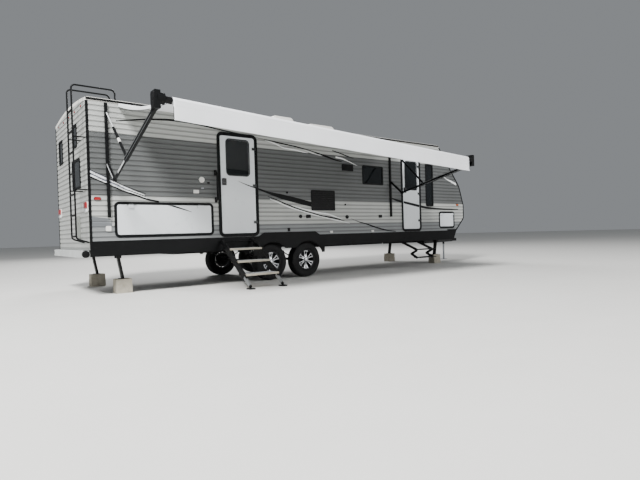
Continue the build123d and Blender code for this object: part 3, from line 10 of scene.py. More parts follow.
import bmesh
import bpy
import numpy as np
from bpy.props import FloatProperty, FloatVectorProperty, IntProperty, PointerProperty
from bpy.types import NodeSocket, Operator, Panel, PropertyGroup
from mathutils import Matrix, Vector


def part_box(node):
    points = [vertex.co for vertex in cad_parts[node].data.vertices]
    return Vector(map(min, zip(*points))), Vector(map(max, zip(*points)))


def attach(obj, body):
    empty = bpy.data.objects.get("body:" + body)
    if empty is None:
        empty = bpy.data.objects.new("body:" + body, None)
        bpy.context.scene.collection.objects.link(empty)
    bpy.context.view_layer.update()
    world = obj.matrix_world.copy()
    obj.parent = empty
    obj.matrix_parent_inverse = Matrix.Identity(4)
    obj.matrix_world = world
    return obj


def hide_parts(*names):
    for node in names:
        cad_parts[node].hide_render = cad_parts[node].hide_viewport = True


bl_info = {
    "name": "Travel caravan dressing",
    "version": (1, 0, 0),
    "blender": (4, 5, 0),
    "location": "View3D > Sidebar > Caravan",
    "description": "Finishes, wheels, awning cloth and fittings for a packed travel caravan",
    "category": "Add Mesh",
}

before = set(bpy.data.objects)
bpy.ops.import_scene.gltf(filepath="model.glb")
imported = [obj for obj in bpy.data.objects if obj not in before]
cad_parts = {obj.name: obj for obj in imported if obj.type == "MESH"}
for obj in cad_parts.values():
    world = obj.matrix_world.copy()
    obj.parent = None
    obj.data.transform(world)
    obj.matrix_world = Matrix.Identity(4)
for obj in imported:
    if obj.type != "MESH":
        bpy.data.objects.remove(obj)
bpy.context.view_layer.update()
HALF_WIDTH = (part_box("siding_road")[1].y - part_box("siding_camp")[0].y) / 2
SHIFT = np.array([
    -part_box("siding_rear")[0].x,
    -(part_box("siding_road")[1].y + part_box("siding_camp")[0].y) / 2,
    0.0,
])
FLOOR_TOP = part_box("siding_camp")[0].z
SIDE_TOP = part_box("edge_trims")[1].z
ROOF_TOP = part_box("roof")[1].z
RIB_PITCH = 0.0823
RIB_FIRST = 0.0544
GROOVE_DEPTH = 0.007
GROOVE_HALF = 0.015
GROOVE_FLAT = 0.006
# Height up to which the siding's colour bands are drawn.
BANDS_TOP = 3.2
LEAF_FACE = HALF_WIDTH + 0.004
# How far the top edge of a locker door lies below the top of its hinges.
KNUCKLE_DROP = 0.027
# Radius of the awning roller's end caps.
ROLLER_CAP = 0.042
BODY = "caravan_body"
SIDES = {"camp": -1.0, "road": 1.0}


def own(node):
    """Lowest and highest corner of a CAD node in the body's own measures."""
    low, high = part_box(node)
    return np.array(low) + SHIFT, np.array(high) + SHIFT


def linear(text):
    """A colour written as #rrggbb, turned from sRGB to linear values with an alpha of one."""
    values = [int(text[i:i + 2], 16) / 255 for i in (1, 3, 5)]
    return tuple(v / 12.92 if v <= 0.04045 else ((v + 0.055) / 1.055) ** 2.4 for v in values) + (1.0,)


# Sizes and colours that a user would change

def colour_setting(name, description, text):
    return FloatVectorProperty(name=name, description=description, subtype="COLOR", size=4, min=0, max=1,
                               default=linear(text))


def length_setting(name, description, metres):
    return FloatProperty(name=name, description=description, unit="LENGTH", default=metres)


class FinishSettings(PropertyGroup):
    siding_light: colour_setting("Light siding", "Enamel of the light bands", "#afb1ae")
    siding_dark: colour_setting("Dark siding", "Enamel of the wide dark band", "#595b5b")
    siding_low: colour_setting("Low siding", "Enamel of the band above the skirt", "#7c7f80")
    black: colour_setting("Black trim", "Skirts, corner trims and frames", "#0c0d0e")
    dark_low: length_setting("Dark band foot", "Height of the dark band's lower edge", 1.593)
    dark_high: length_setting("Dark band head", "Height of the dark band's upper edge", 2.58)
    low_high: length_setting("Low band head", "Height of the low band's upper edge", 1.095)


class WheelSettings(PropertyGroup):
    tread_depth: length_setting("Tread depth", "Depth of the tread grooves", 0.008)
    lugs: IntProperty(name="Tread lugs", description="Lugs round each tyre", default=64, min=8)
    spokes: IntProperty(name="Spokes", description="Split spokes of each wheel", default=6, min=3)
    split: length_setting("Split", "Half the gap between a spoke's two arms at the rim", 0.036)


class AwningSettings(PropertyGroup):
    sag: length_setting("Sag", "How far the cloth hangs below a straight line", 0.08)
    valance: length_setting("Valance", "Height of the strip that hangs from the roller", 0.25)
    wave: length_setting("Wave", "Depth of the valance's soft waves", 0.006)


class StageSettings(PropertyGroup):
    floor: colour_setting("Floor", "Colour of the studio floor", "#d9d8d4")
    key: FloatProperty(name="Key light", description="Power of the large soft light in watts", default=8200.0)
    sky: FloatProperty(name="Sky", description="Strength of the even light from all round", default=0.3)


# Surfaces

# Points in each rounded corner of an outline.
CORNER_STEPS = 7


def grid_faces(rows, cols, close_rows=False, close_cols=False):
    """Quads of a grid of points, numbered row by row, wrapping round where a direction is closed."""
    r = np.arange(rows if close_rows else rows - 1)
    c = np.arange(cols if close_cols else cols - 1)
    r, c = np.meshgrid(r, c, indexing="ij")
    up, right = (r + 1) % rows, (c + 1) % cols
    return np.stack([r * cols + c, r * cols + right, up * cols + right, up * cols + c], -1).reshape(-1, 4)


class Pile:
    """Grids of points gathered into one mesh. Each has the place of its finish in the mesh's list."""

    def __init__(self):
        self.points = []
        self.faces = []
        self.finishes = []
        self.count = 0

    def grid(self, points, finish=0, close_rows=False, close_cols=False):
        points = np.asarray(points, float)
        rows, cols = points.shape[:2]
        faces = grid_faces(rows, cols, close_rows, close_cols) + self.count
        self.points.append(points.reshape(-1, 3))
        self.faces.append(faces)
        self.finishes.append(np.full(len(faces), finish))
        self.count += rows * cols

    def wrap(self, points, finish=0):
        """Adds a grid whose last column is joined to its first."""
        self.grid(points, finish, close_cols=True)

    def build(self, name, body, finishes, slot, smooth=32.0, closed=True):
        """Puts the gathered grids into a mesh, joins coincident points and turns closed shells outwards."""
        mesh = bpy.data.meshes.new(name)
        points = np.concatenate(self.points) - SHIFT
        faces = np.concatenate(self.faces)
        mesh.vertices.add(len(points))
        mesh.vertices.foreach_set("co", points.ravel())
        mesh.loops.add(faces.size)
        mesh.loops.foreach_set("vertex_index", faces.ravel().astype(np.int32))
        mesh.polygons.add(len(faces))
        mesh.polygons.foreach_set("loop_start", np.arange(0, faces.size, 4, dtype=np.int32))
        mesh.polygons.foreach_set("material_index", np.concatenate(self.finishes).astype(np.int32))
        mesh.update(calc_edges=True)
        work = bmesh.new()
        work.from_mesh(mesh)
        bmesh.ops.remove_doubles(work, verts=work.verts, dist=2e-5)
        bmesh.ops.dissolve_degenerate(work, edges=work.edges, dist=1e-6)
        if closed:
            bmesh.ops.recalc_face_normals(work, faces=work.faces)
        work.to_mesh(mesh)
        work.free()
        mesh.shade_smooth()
        mesh.set_sharp_from_angle(angle=math.radians(smooth))
        for finish in finishes:
            mesh.materials.append(FINISH[finish])
        piece = bpy.data.objects.new(name, mesh)
        bpy.context.scene.collection.objects.link(piece)
        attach(piece, body)
        return piece


def turned(profile, centre, axis, steps):
    """A profile of (radius, place along the axis) carried round an axis: at angle t a point lies at
    the centre, plus its place along the axis, plus its radius times (cos t, sin t) across it."""
    profile = np.asarray(profile, float)
    t = np.linspace(0, 2 * np.pi, steps, endpoint=False)
    axis = np.asarray(axis, float) / np.linalg.norm(axis)
    guide = np.array([0.0, 0, 1]) if abs(axis[2]) < 0.9 else np.array([1.0, 0, 0])
    across = np.cross(guide, axis)
    across /= np.linalg.norm(across)
    other = np.cross(axis, across)
    ring = np.cos(t)[:, None] * across + np.sin(t)[:, None] * other
    return np.asarray(centre) + profile[:, 1, None, None] * axis + profile[:, 0, None, None] * ring[None]


def along(path, section):
    """A flat section carried along a path: each copy stands square to the path's direction there, with
    its first measure level and its second as near upright as that allows."""
    path = np.asarray(path, float)
    tangent = np.gradient(path, axis=0)
    tangent /= np.linalg.norm(tangent, axis=1, keepdims=True)
    guide = np.where(np.abs(tangent[:, 2:]) < 0.95, np.array([[0.0, 0, 1]]), np.array([[1.0, 0, 0]]))
    side = np.cross(tangent, guide)
    side /= np.linalg.norm(side, axis=1, keepdims=True)
    up = np.cross(side, tangent)
    section = np.asarray(section, float)
    return path[:, None] + section[None, :, :1] * side[:, None] + section[None, :, 1:] * up[:, None]


def capped(grid):
    """A closed-column grid with both end rows gathered to their middles, which closes its ends."""
    first = np.repeat(grid[:1].mean(1, keepdims=True), grid.shape[1], 1)
    last = np.repeat(grid[-1:].mean(1, keepdims=True), grid.shape[1], 1)
    return np.concatenate([first, grid, last])


def circle(radius, steps):
    t = np.linspace(0, 2 * np.pi, steps, endpoint=False)
    return np.stack([radius * np.cos(t), radius * np.sin(t)], 1)


def outline(half_wide, half_tall, radius):
    """Points round a rectangle with rounded corners: each corner is a quarter circle of the radius
    about the point that lies one radius in from both sides."""
    radius = min(radius, half_wide * 0.999, half_tall * 0.999)
    t = np.linspace(0, np.pi / 2, CORNER_STEPS)
    pieces = []
    for turn, sx, sy in ((0, 1, 1), (1, -1, 1), (2, -1, -1), (3, 1, -1)):
        angle = t + turn * np.pi / 2
        pieces.append(np.stack([sx * (half_wide - radius) + radius * np.cos(angle),
                                sy * (half_tall - radius) + radius * np.sin(angle)], 1))
    return np.concatenate(pieces)


# Directions of each face of the body: along it, up it and out of it.
FACES = {
    "camp": np.array([(1.0, 0, 0), (0, 0, 1), (0, -1, 0)]),
    "road": np.array([(-1.0, 0, 0), (0, 0, 1), (0, 1, 0)]),
    "rear": np.array([(0.0, -1, 0), (0, 0, 1), (-1, 0, 0)]),
    "top": np.array([(1.0, 0, 0), (0, 1, 0), (0, 0, 1)]),
    "front": np.array([(0.0, 1, 0), (0, 0, 1), (1, 0, 0)]),
}


def facing(face, centre, flat, depth):
    """Points on a flat outline, set at a depth out of one face of the body about a centre."""
    wide, tall, out = FACES[face]
    return np.asarray(centre) + flat[..., :1] * wide + flat[..., 1:] * tall + depth * out


def plate(face, centre, half_wide, half_tall, radius, thick, bevel, back=0.0, dome=0.0):
    """A rounded plate: its outline rises from the back, turns in over a quarter-circle bevel and
    closes at the middle, which stands proud by the dome."""
    rows = [(0.0, back), (0.0, thick - bevel)]
    for a in np.linspace(0, np.pi / 2, 4)[1:]:
        rows.append((bevel * (1 - math.cos(a)), thick - bevel + bevel * math.sin(a)))
    grids = [facing(face, centre, outline(half_wide - i, half_tall - i, max(radius - i, 1e-4)), d)
             for i, d in rows]
    inner = outline(half_wide - bevel, half_tall - bevel, max(radius - bevel, 1e-4))
    for share in (0.7, 0.35, 0.0):
        grids.append(facing(face, centre, inner * share, thick + dome * (1 - share ** 2)))
    grids.insert(0, facing(face, centre, outline(half_wide, half_tall, radius) * 0.0, back))
    return np.array(grids)


def box_grid(low, high, bevel):
    """A block with rounded upright edges and bevelled ends, as a plate seen from above."""
    low, high = np.asarray(low, float), np.asarray(high, float)
    middle = (low + high) / 2
    half = (high - low) / 2
    return plate("top", (middle[0], middle[1], low[2]), half[0], half[1], bevel, high[2] - low[2], bevel)


def sleeve(first, last, radius, steps=20):
    """A closed tube with rounded ends, from one point to another."""
    way = np.asarray(last, float) - np.asarray(first, float)
    long, edge = np.linalg.norm(way), radius * 0.12
    profile = [(0.0, 0.0), (radius - edge, 0.0), (radius, edge), (radius, long - edge), (radius - edge, long),
               (0.0, long)]
    return turned(profile, first, way, steps)


def flat_strip(first, last, side0, side1, up0, up1):
    """A thin bar along a line, between two places sideways from the line and two places across it."""
    section = np.array([(side0, up0), (side1, up0), (side1, up1), (side0, up1)])
    return capped(along(np.linspace(first, last, 4), section))


# Finishes

def node(tree, kind, inputs=(), **settings):
    """Adds one node: sets its settings, links the inputs that are sockets and fills in the others."""
    made = tree.nodes.new(kind)
    for name, value in settings.items():
        setattr(made, name, value)
    for key, value in dict(inputs).items():
        if isinstance(value, NodeSocket):
            tree.links.new(value, made.inputs[key])
        else:
            made.inputs[key].default_value = value
    return made


def begin(name, **values):
    """A new material with its shader's own sockets set; gives the material, its tree, its shader and
    the place of each point on the object."""
    material = bpy.data.materials.new(name)
    material.use_nodes = True
    tree = material.node_tree
    tree.nodes.clear()
    shader = node(tree, "ShaderNodeBsdfPrincipled", {k.replace("_", " "): v for k, v in values.items()})
    node(tree, "ShaderNodeOutputMaterial", {"Surface": shader.outputs[0]})
    place = node(tree, "ShaderNodeTexCoord").outputs["Object"]
    return material, tree, shader, place


def sums(tree, kind, first, second=0.0):
    """One sum on the numbers of a node tree."""
    return node(tree, "ShaderNodeMath", {0: first, 1: second}, operation=kind).outputs[0]


def remap(tree, value, low, high, first, last):
    """A number that goes from first to last while a value goes from low to high."""
    return node(tree, "ShaderNodeMapRange", {0: value, 1: low, 2: high, 3: first, 4: last}).outputs[0]


def noise(tree, place, scale, detail):
    return node(tree, "ShaderNodeTexNoise", {"Vector": place, "Scale": scale, "Detail": detail}).outputs[0]


def scaled(tree, colour, amount):
    """A colour made darker or lighter by an amount."""
    return node(tree, "ShaderNodeVectorMath", {0: colour, 3: amount}, operation="SCALE").outputs[0]


# Most of a noise's values lie between these two.
NOISE = (0.3, 0.7)


def weathered(tree, shader, place, colour, spread, size, rough, grain, bump, stretch=(1.0, 1.0, 1.0)):
    """Colour that wanders a little over patches of one size, roughness that follows a finer noise, and a
    fine grain in the bump. Grain is the size of the grain in metres."""
    patch = node(tree, "ShaderNodeMapping", {"Vector": place, "Scale": tuple(s / size for s in stretch)})
    amount = remap(tree, noise(tree, patch.outputs[0], 1.0, 4.0), *NOISE, 1 - spread, 1 + spread * 0.4)
    tree.links.new(scaled(tree, colour, amount), shader.inputs["Base Color"])
    worn = remap(tree, noise(tree, place, 1 / (size * 0.2), 3.0), *NOISE, *rough)
    tree.links.new(worn, shader.inputs["Roughness"])
    if grain:
        raised = node(tree, "ShaderNodeBump", {"Height": noise(tree, place, 1 / grain, 2.0), "Strength": bump,
                                               "Distance": grain * 0.3})
        tree.links.new(raised.outputs[0], shader.inputs["Normal"])


def siding_enamel(name, bands):
    # Roll-coated aluminium siding: a thin smooth enamel over embossed sheet, satin, with faint dusty runs
    # down the face. The stucco emboss is about 2 mm and is drawn 5 mm so that it shows.
    material, tree, shader, place = begin(name, Metallic=0.0, IOR=1.5)
    height = node(tree, "ShaderNodeSeparateXYZ", {0: place}).outputs[2]
    steps = node(tree, "ShaderNodeValToRGB", {0: remap(tree, height, FLOOR_TOP, BANDS_TOP, 0.0, 1.0)})
    steps.color_ramp.interpolation = "CONSTANT"
    elements = steps.color_ramp.elements
    for index, (foot, colour) in enumerate(bands):
        at = (foot - FLOOR_TOP) / (BANDS_TOP - FLOOR_TOP)
        element = elements[index] if index < 2 else elements.new(at)
        element.position = at
        element.color = colour
    pitches = sums(tree, "DIVIDE", sums(tree, "SUBTRACT", height, FLOOR_TOP + RIB_FIRST), RIB_PITCH)
    off = sums(tree, "ABSOLUTE", sums(tree, "SUBTRACT", sums(tree, "FRACT", pitches), 0.5))
    # Painted shade darkens the sheet towards its grooves, and painted shade along the crease in the middle of
    # each rib makes a fine dark line.
    groove_shade = remap(tree, off, 0.16, 0.42, 1.0, 0.56)
    crease = remap(tree, off, 0.02, 0.06, 0.0, 1.0)
    line = remap(tree, crease, 0.0, 1.0, 0.86, 1.0)
    shaded = scaled(tree, steps.outputs[0], sums(tree, "MULTIPLY", groove_shade, line))
    weathered(tree, shader, place, shaded, 0.07, 0.5, (0.36, 0.5), 0.005, 0.10, (1.0, 1.0, 0.25))
    grain = shader.inputs["Normal"].links[0].from_node
    fold = node(tree, "ShaderNodeBump", {"Height": crease, "Strength": 0.6, "Distance": 0.003,
                                         "Normal": grain.outputs[0]})
    tree.links.new(fold.outputs[0], shader.inputs["Normal"])
    return material


def two_tone(name, low, high, axis, edge, **values):
    """A finish of two colours that meet at one place along an axis of the object."""
    material, tree, shader, place = begin(name, **values)
    along_axis = node(tree, "ShaderNodeSeparateXYZ", {0: place}).outputs[axis]
    side = sums(tree, "GREATER_THAN", along_axis, edge)
    mixed = node(tree, "ShaderNodeMix", {0: side, 6: linear(low), 7: linear(high)}, data_type="RGBA")
    weathered(tree, shader, place, mixed.outputs[2], 0.05, 0.6, (0.26, 0.4), 0.02, 0.03)
    return material


def plain_finish(name, colour, spread, size, rough, grain, bump=0.1, **values):
    """A finish of one colour with its own wear; the shader's constants are set on its sockets."""
    material, tree, shader, place = begin(name, **values)
    tone = node(tree, "ShaderNodeRGB")
    tone.outputs[0].default_value = linear(colour) if isinstance(colour, str) else tuple(colour)
    weathered(tree, shader, place, tone.outputs[0], spread, size, rough, grain, bump)
    return material


FINISH = {}
# Each finish of one colour: name, colour, spread of the colour, size of its patches, lowest and highest
# roughness, size and height of the grain where there is one, and constants of the shader.
PLAIN = {
    # Bumper enamel: light grey over steel box section, weathered and a little chalky.
    "bumper": ("bumper_enamel", "#b9bcbb", 0.12, 0.2, (0.4, 0.55), 0.004, 0.08, {"IOR": 1.5}),
    # Chassis paint: brushed-on black over rolled steel, duller low down, with stone chips as a coarse grain.
    "frame": ("chassis_paint", "#111112", 0.18, 0.25, (0.42, 0.62), 0.004, 0.2,
              {"IOR": 1.5, "Specular_IOR_Level": 0.2}),
    # Bonded rubber roof sheet: off-white, matt, dusty in patches.
    "roof": ("roof_membrane", "#d8d7d2", 0.1, 0.7, (0.6, 0.78), 0.006, 0.1, {"IOR": 1.5}),
    # Lining ply with a printed paper face: warm off-white, satin.
    "lining": ("lining_ply", "#cfc8bb", 0.05, 0.4, (0.45, 0.6), 0.003, 0.05, {"IOR": 1.5}),
    # Tinted toughened glass: float glass with a dark grey body tint, smooth enough to mirror the sky.
    "glass": ("tinted_glass", "#15191b", 0.04, 1.5, (0.03, 0.06), None,
              {"Transmission_Weight": 0.35, "IOR": 1.52, "Specular_IOR_Level": 0.35}),
    # Tyre rubber: carbon-black filled, moulded, matt with a grey bloom.
    "rubber": ("tyre_rubber", "#131314", 0.25, 0.12, (0.66, 0.85), 0.004, 0.18,
               {"IOR": 1.52, "Specular_IOR_Level": 0.3}),
    # Diamond-turned aluminium: bright with fine turning lines that spread the gloss.
    "turned_alloy": ("turned_aluminium", "#c4c6c9", 0.05, 0.08, (0.22, 0.34), 0.002, 0.05, {"Metallic": 1.0}),
    # Dark wheel paint in the pockets between the machined faces.
    "pocket": ("wheel_pocket_paint", "#1d1e20", 0.12, 0.1, (0.35, 0.5), None, {"IOR": 1.5}),
    # Mill-finish aluminium extrusion: grey, with die lines along its length.
    "aluminium": ("extruded_aluminium", "#b3b5b7", 0.08, 0.2, (0.36, 0.5), 0.003, 0.08, {"Metallic": 1.0}),
    # Satin anodised aluminium of the awning's sliding tubes: pale, evenly etched, so that it never mirrors.
    "satin_alloy": ("satin_anodised_tube", "#cfd1d2", 0.06, 0.2, (0.45, 0.55), 0.003, 0.05,
                    {"Metallic": 0.35}),
    # Zinc-plated steel: bright bluish grey with a faint crystal mottle.
    "zinc": ("zinc_plated_steel", "#9a9da1", 0.15, 0.05, (0.34, 0.5), 0.003, 0.1, {"Metallic": 1.0}),
    # Moulded ABS, black: eggshell gloss with a fine leather grain drawn at 3 mm.
    "black_plastic": ("black_abs", "#0d0d0e", 0.1, 0.3, (0.42, 0.56), 0.003, 0.12,
                      {"IOR": 1.53, "Specular_IOR_Level": 0.15}),
    # Moulded ABS, white: glossy and slightly yellowed in patches.
    "white_plastic": ("white_abs", "#d6d5d1", 0.05, 0.4, (0.28, 0.42), 0.003, 0.04, {"IOR": 1.53}),
    # Lens acrylic, red, amber and clear: smooth and deep in colour, lit from behind by its reflector.
    "lens_red": ("red_lens_acrylic", "#8f1015", 0.06, 0.1, (0.08, 0.14), None,
                 {"IOR": 1.49, "Coat_Weight": 0.6}),
    "lens_amber": ("amber_lens_acrylic", "#a8501c", 0.06, 0.1, (0.08, 0.14), None,
                   {"IOR": 1.49, "Coat_Weight": 0.6}),
    "lens_clear": ("clear_lens_acrylic", "#d8dcde", 0.04, 0.1, (0.06, 0.12), None,
                   {"IOR": 1.49, "Coat_Weight": 0.6}),
    # Vinyl-coated polyester cloth: white, low sheen, a 1 mm weave under the coat drawn at 4 mm.
    "cloth": ("vinyl_coated_cloth", "#e9ebee", 0.035, 0.6, (0.5, 0.62), 0.004, 0.1, {"IOR": 1.5}),
    # Printed vinyl film for the stripes: cast film in four colours, the black one duller than the rest.
    "film_black": ("black_vinyl_film", "#0f1011", 0.06, 0.4, (0.4, 0.5), None,
                   {"IOR": 1.5, "Specular_IOR_Level": 0.12}),
    "film_white": ("white_vinyl_film", "#eceeee", 0.03, 0.4, (0.22, 0.3), None, {"IOR": 1.5}),
    "film_low": ("dark_grey_vinyl_film", "#64676a", 0.05, 0.4, (0.3, 0.4), None, {"IOR": 1.5}),
    "film_grey": ("grey_vinyl_film", "#a3a6b4", 0.05, 0.4, (0.22, 0.3), None, {"IOR": 1.5}),
    # Cast concrete block: grey-buff, open pores of about 4 mm, chalky.
    "concrete": ("cast_concrete", "#a9a395", 0.22, 0.06, (0.82, 0.95), 0.004, 0.5, {"IOR": 1.5}),
    # Gas bottle enamel: white over welded steel, thumb marks and light rust bloom low down.
    "bottle": ("bottle_enamel", "#d6d6d2", 0.08, 0.15, (0.3, 0.44), 0.004, 0.05, {"IOR": 1.5}),
    # Step tread: anodised aluminium sheet with a pale grit strip, dusty from shoes.
    "tread": ("gritted_step_tread", "#b9b2a2", 0.16, 0.1, (0.6, 0.8), 0.004, 0.35, {"IOR": 1.5}),
    # Spring steel, painted black and scuffed to grey along its edges.
    "spring": ("spring_steel", "#2d2d2f", 0.25, 0.08, (0.4, 0.6), 0.004, 0.15, {"Metallic": 0.6}),
}


def make_finishes():
    """Every finish of the caravan, each named for what it is and how its surface was made."""
    for key, (name, colour, *wear, values) in PLAIN.items():
        FINISH[key] = plain_finish(name, colour, *wear, **values)
    look = bpy.context.scene.caravan_finish
    light, dark, low = (tuple(c) for c in (look.siding_light, look.siding_dark, look.siding_low))
    FINISH["siding"] = siding_enamel("banded_siding_enamel", [
        (FLOOR_TOP, low), (look.low_high, light), (look.dark_low, dark), (look.dark_high, light)])
    FINISH["siding_rear"] = siding_enamel("light_siding_enamel", [(FLOOR_TOP, light), (1.0, light)])
    # Powder-coated aluminium trim: black, satin, an even fine orange peel of about 1 mm, drawn 3 mm.
    FINISH["black"] = plain_finish("black_powder_coat", look.black, 0.1, 0.6, (0.42, 0.56), 0.003, 0.08,
                                   IOR=1.5, Specular_IOR_Level=0.12)
    # Glass-fibre door skin: white gel coat, glossy, very slightly rippled over 60 mm. Its hinges, latches
    # and window rims stand out from the skin and are moulded in black.
    edge = LEAF_FACE + 0.0022
    FINISH["door"] = two_tone("camp_door_gel_coat", "#151617", "#d4d8db", 1, -edge - SHIFT[1], IOR=1.5)
    # Pressed locker doors: the same white coat on leaf, straps and latches, and black hinge knuckles above.
    for row in ("rear", "front"):
        edge = own("baggage_door_" + row)[1][2] - KNUCKLE_DROP
        FINISH["leaf_" + row] = two_tone(row + "_locker_gel_coat", "#d4d8db", "#151617", 2, edge, IOR=1.5)
    # Moulded hatches: grey on the rear wall and white on the side walls.
    FINISH["hatch"] = two_tone("hatch_abs", "#858882", "#d6d5d1", 0, 0.03 - SHIFT[0], IOR=1.5)
    # Sheet vinyl over ply, brown and low in sheen, with a black woven sheet stapled under it.
    FINISH["floor"] = two_tone("vinyl_floor", "#1a1a1b", "#7a6552", 2, FLOOR_TOP - 0.004, IOR=1.5)


FINISHED_NODES = {
    "siding": ("siding_camp", "siding_road"),
    "siding_rear": ("siding_rear", "wall_front"),
    "lining": ("wall_camp", "wall_road", "wall_rear"),
    "roof": ("roof",),
    "floor": ("floor",),
    "black": ("skirts", "edge_trims", "opening_frames", "awning_frame", "ladder"),
    "frame": ("chassis_rails", "cross_members", "tow_frame", "coupler", "axles", "tongue_jack_tube",
              "stabilizer_brackets", "stabilizer_rear_camp", "stabilizer_rear_road",
              "stabilizer_front_camp", "stabilizer_front_road", "step_brackets", "front_steps",
              "entry_steps"),
    "bumper": ("bumper",),
    "spring": ("leaf_springs",),
    "black_plastic": ("tanks", "grab_handle", "black_vents", "battery_box"),
    "glass": ("window_glass", "entry_glass_rear", "entry_glass_front"),
    "door": ("entry_door_rear", "entry_door_front"),
    "leaf_rear": ("baggage_door_rear",),
    "leaf_front": ("baggage_door_front", "baggage_door_road"),
    "aluminium": ("awning_roller",),
    "white_plastic": ("roof_air_units", "roof_vents"),
    "lens_red": ("lamps",),
    "hatch": ("white_hatches",),
    "concrete": ("support_blocks",),
    "zinc": ("tongue_jack_leg",),
    "bottle": ("gas_bottles",),
}


class CARAVAN_OT_finishes(Operator):
    """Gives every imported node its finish"""

    bl_idname = "caravan.finishes"
    bl_label = "Finishes"

    def execute(self, context):
        make_finishes()
        for finish, nodes in FINISHED_NODES.items():
            for name in nodes:
                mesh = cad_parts[name].data
                mesh.materials.clear()
                mesh.materials.append(FINISH[finish])
        return {"FINISHED"}


# Stripes on the side walls

def groove(z):
    """Depth of the ribbed sheet at a height: at every pitch there is a groove with a flat bottom, and its
    sides slope evenly out to the face."""
    place = (z - FLOOR_TOP - RIB_FIRST) / RIB_PITCH
    off = np.abs(place - np.round(place)) * RIB_PITCH
    return GROOVE_DEPTH * np.clip((GROOVE_HALF - off) / (GROOVE_HALF - GROOVE_FLAT), 0, 1)


def smooth_line(knots, x):
    """A smooth line through knots (x, value): cubic pieces whose slope at each knot is that between its
    two neighbours."""
    knots = np.asarray(knots, float)
    slope = np.gradient(knots[:, 1], knots[:, 0])
    index = np.clip(np.searchsorted(knots[:, 0], x) - 1, 0, len(knots) - 2)
    x0, x1 = knots[index, 0], knots[index + 1, 0]
    t = (x - x0) / (x1 - x0)
    span = x1 - x0
    return ((1 + 2 * t) * (1 - t) ** 2 * knots[index, 1] + t * (1 - t) ** 2 * span * slope[index]
            + t ** 2 * (3 - 2 * t) * knots[index + 1, 1] + t ** 2 * (t - 1) * span * slope[index + 1])


# Distances between the points of a film: along a wall and up it.
FILM_STEP = 0.03
FILM_RISE = 0.0034


def film(pile, finish, knots, x0, x1, lift, sign, ribbed, clip):
    """A strip of film on a side wall: at each X it lies half its width below and above a smooth line, cut
    off at a lowest and a highest Z, and it follows the ribs at a small height above them. Knots are
    (X, middle Z, width)."""
    knots = np.asarray(knots, float)
    x = np.linspace(x0, x1, max(int((x1 - x0) / FILM_STEP), 4))
    middle = smooth_line(knots[:, :2], x)
    half = np.interp(x, knots[:, 0], knots[:, 2]) / 2
    low, high = np.clip(middle - half, *clip), np.clip(middle + half, *clip)
    rows = max(int((high - low).max() / FILM_RISE), 4)
    z = low + np.linspace(0, 1, rows)[:, None] * (high - low)
    depth = groove(z) if ribbed else np.zeros_like(z)
    pile.grid(np.stack([np.broadcast_to(x, z.shape), sign * (HALF_WIDTH - depth + lift), z], -1), finish)


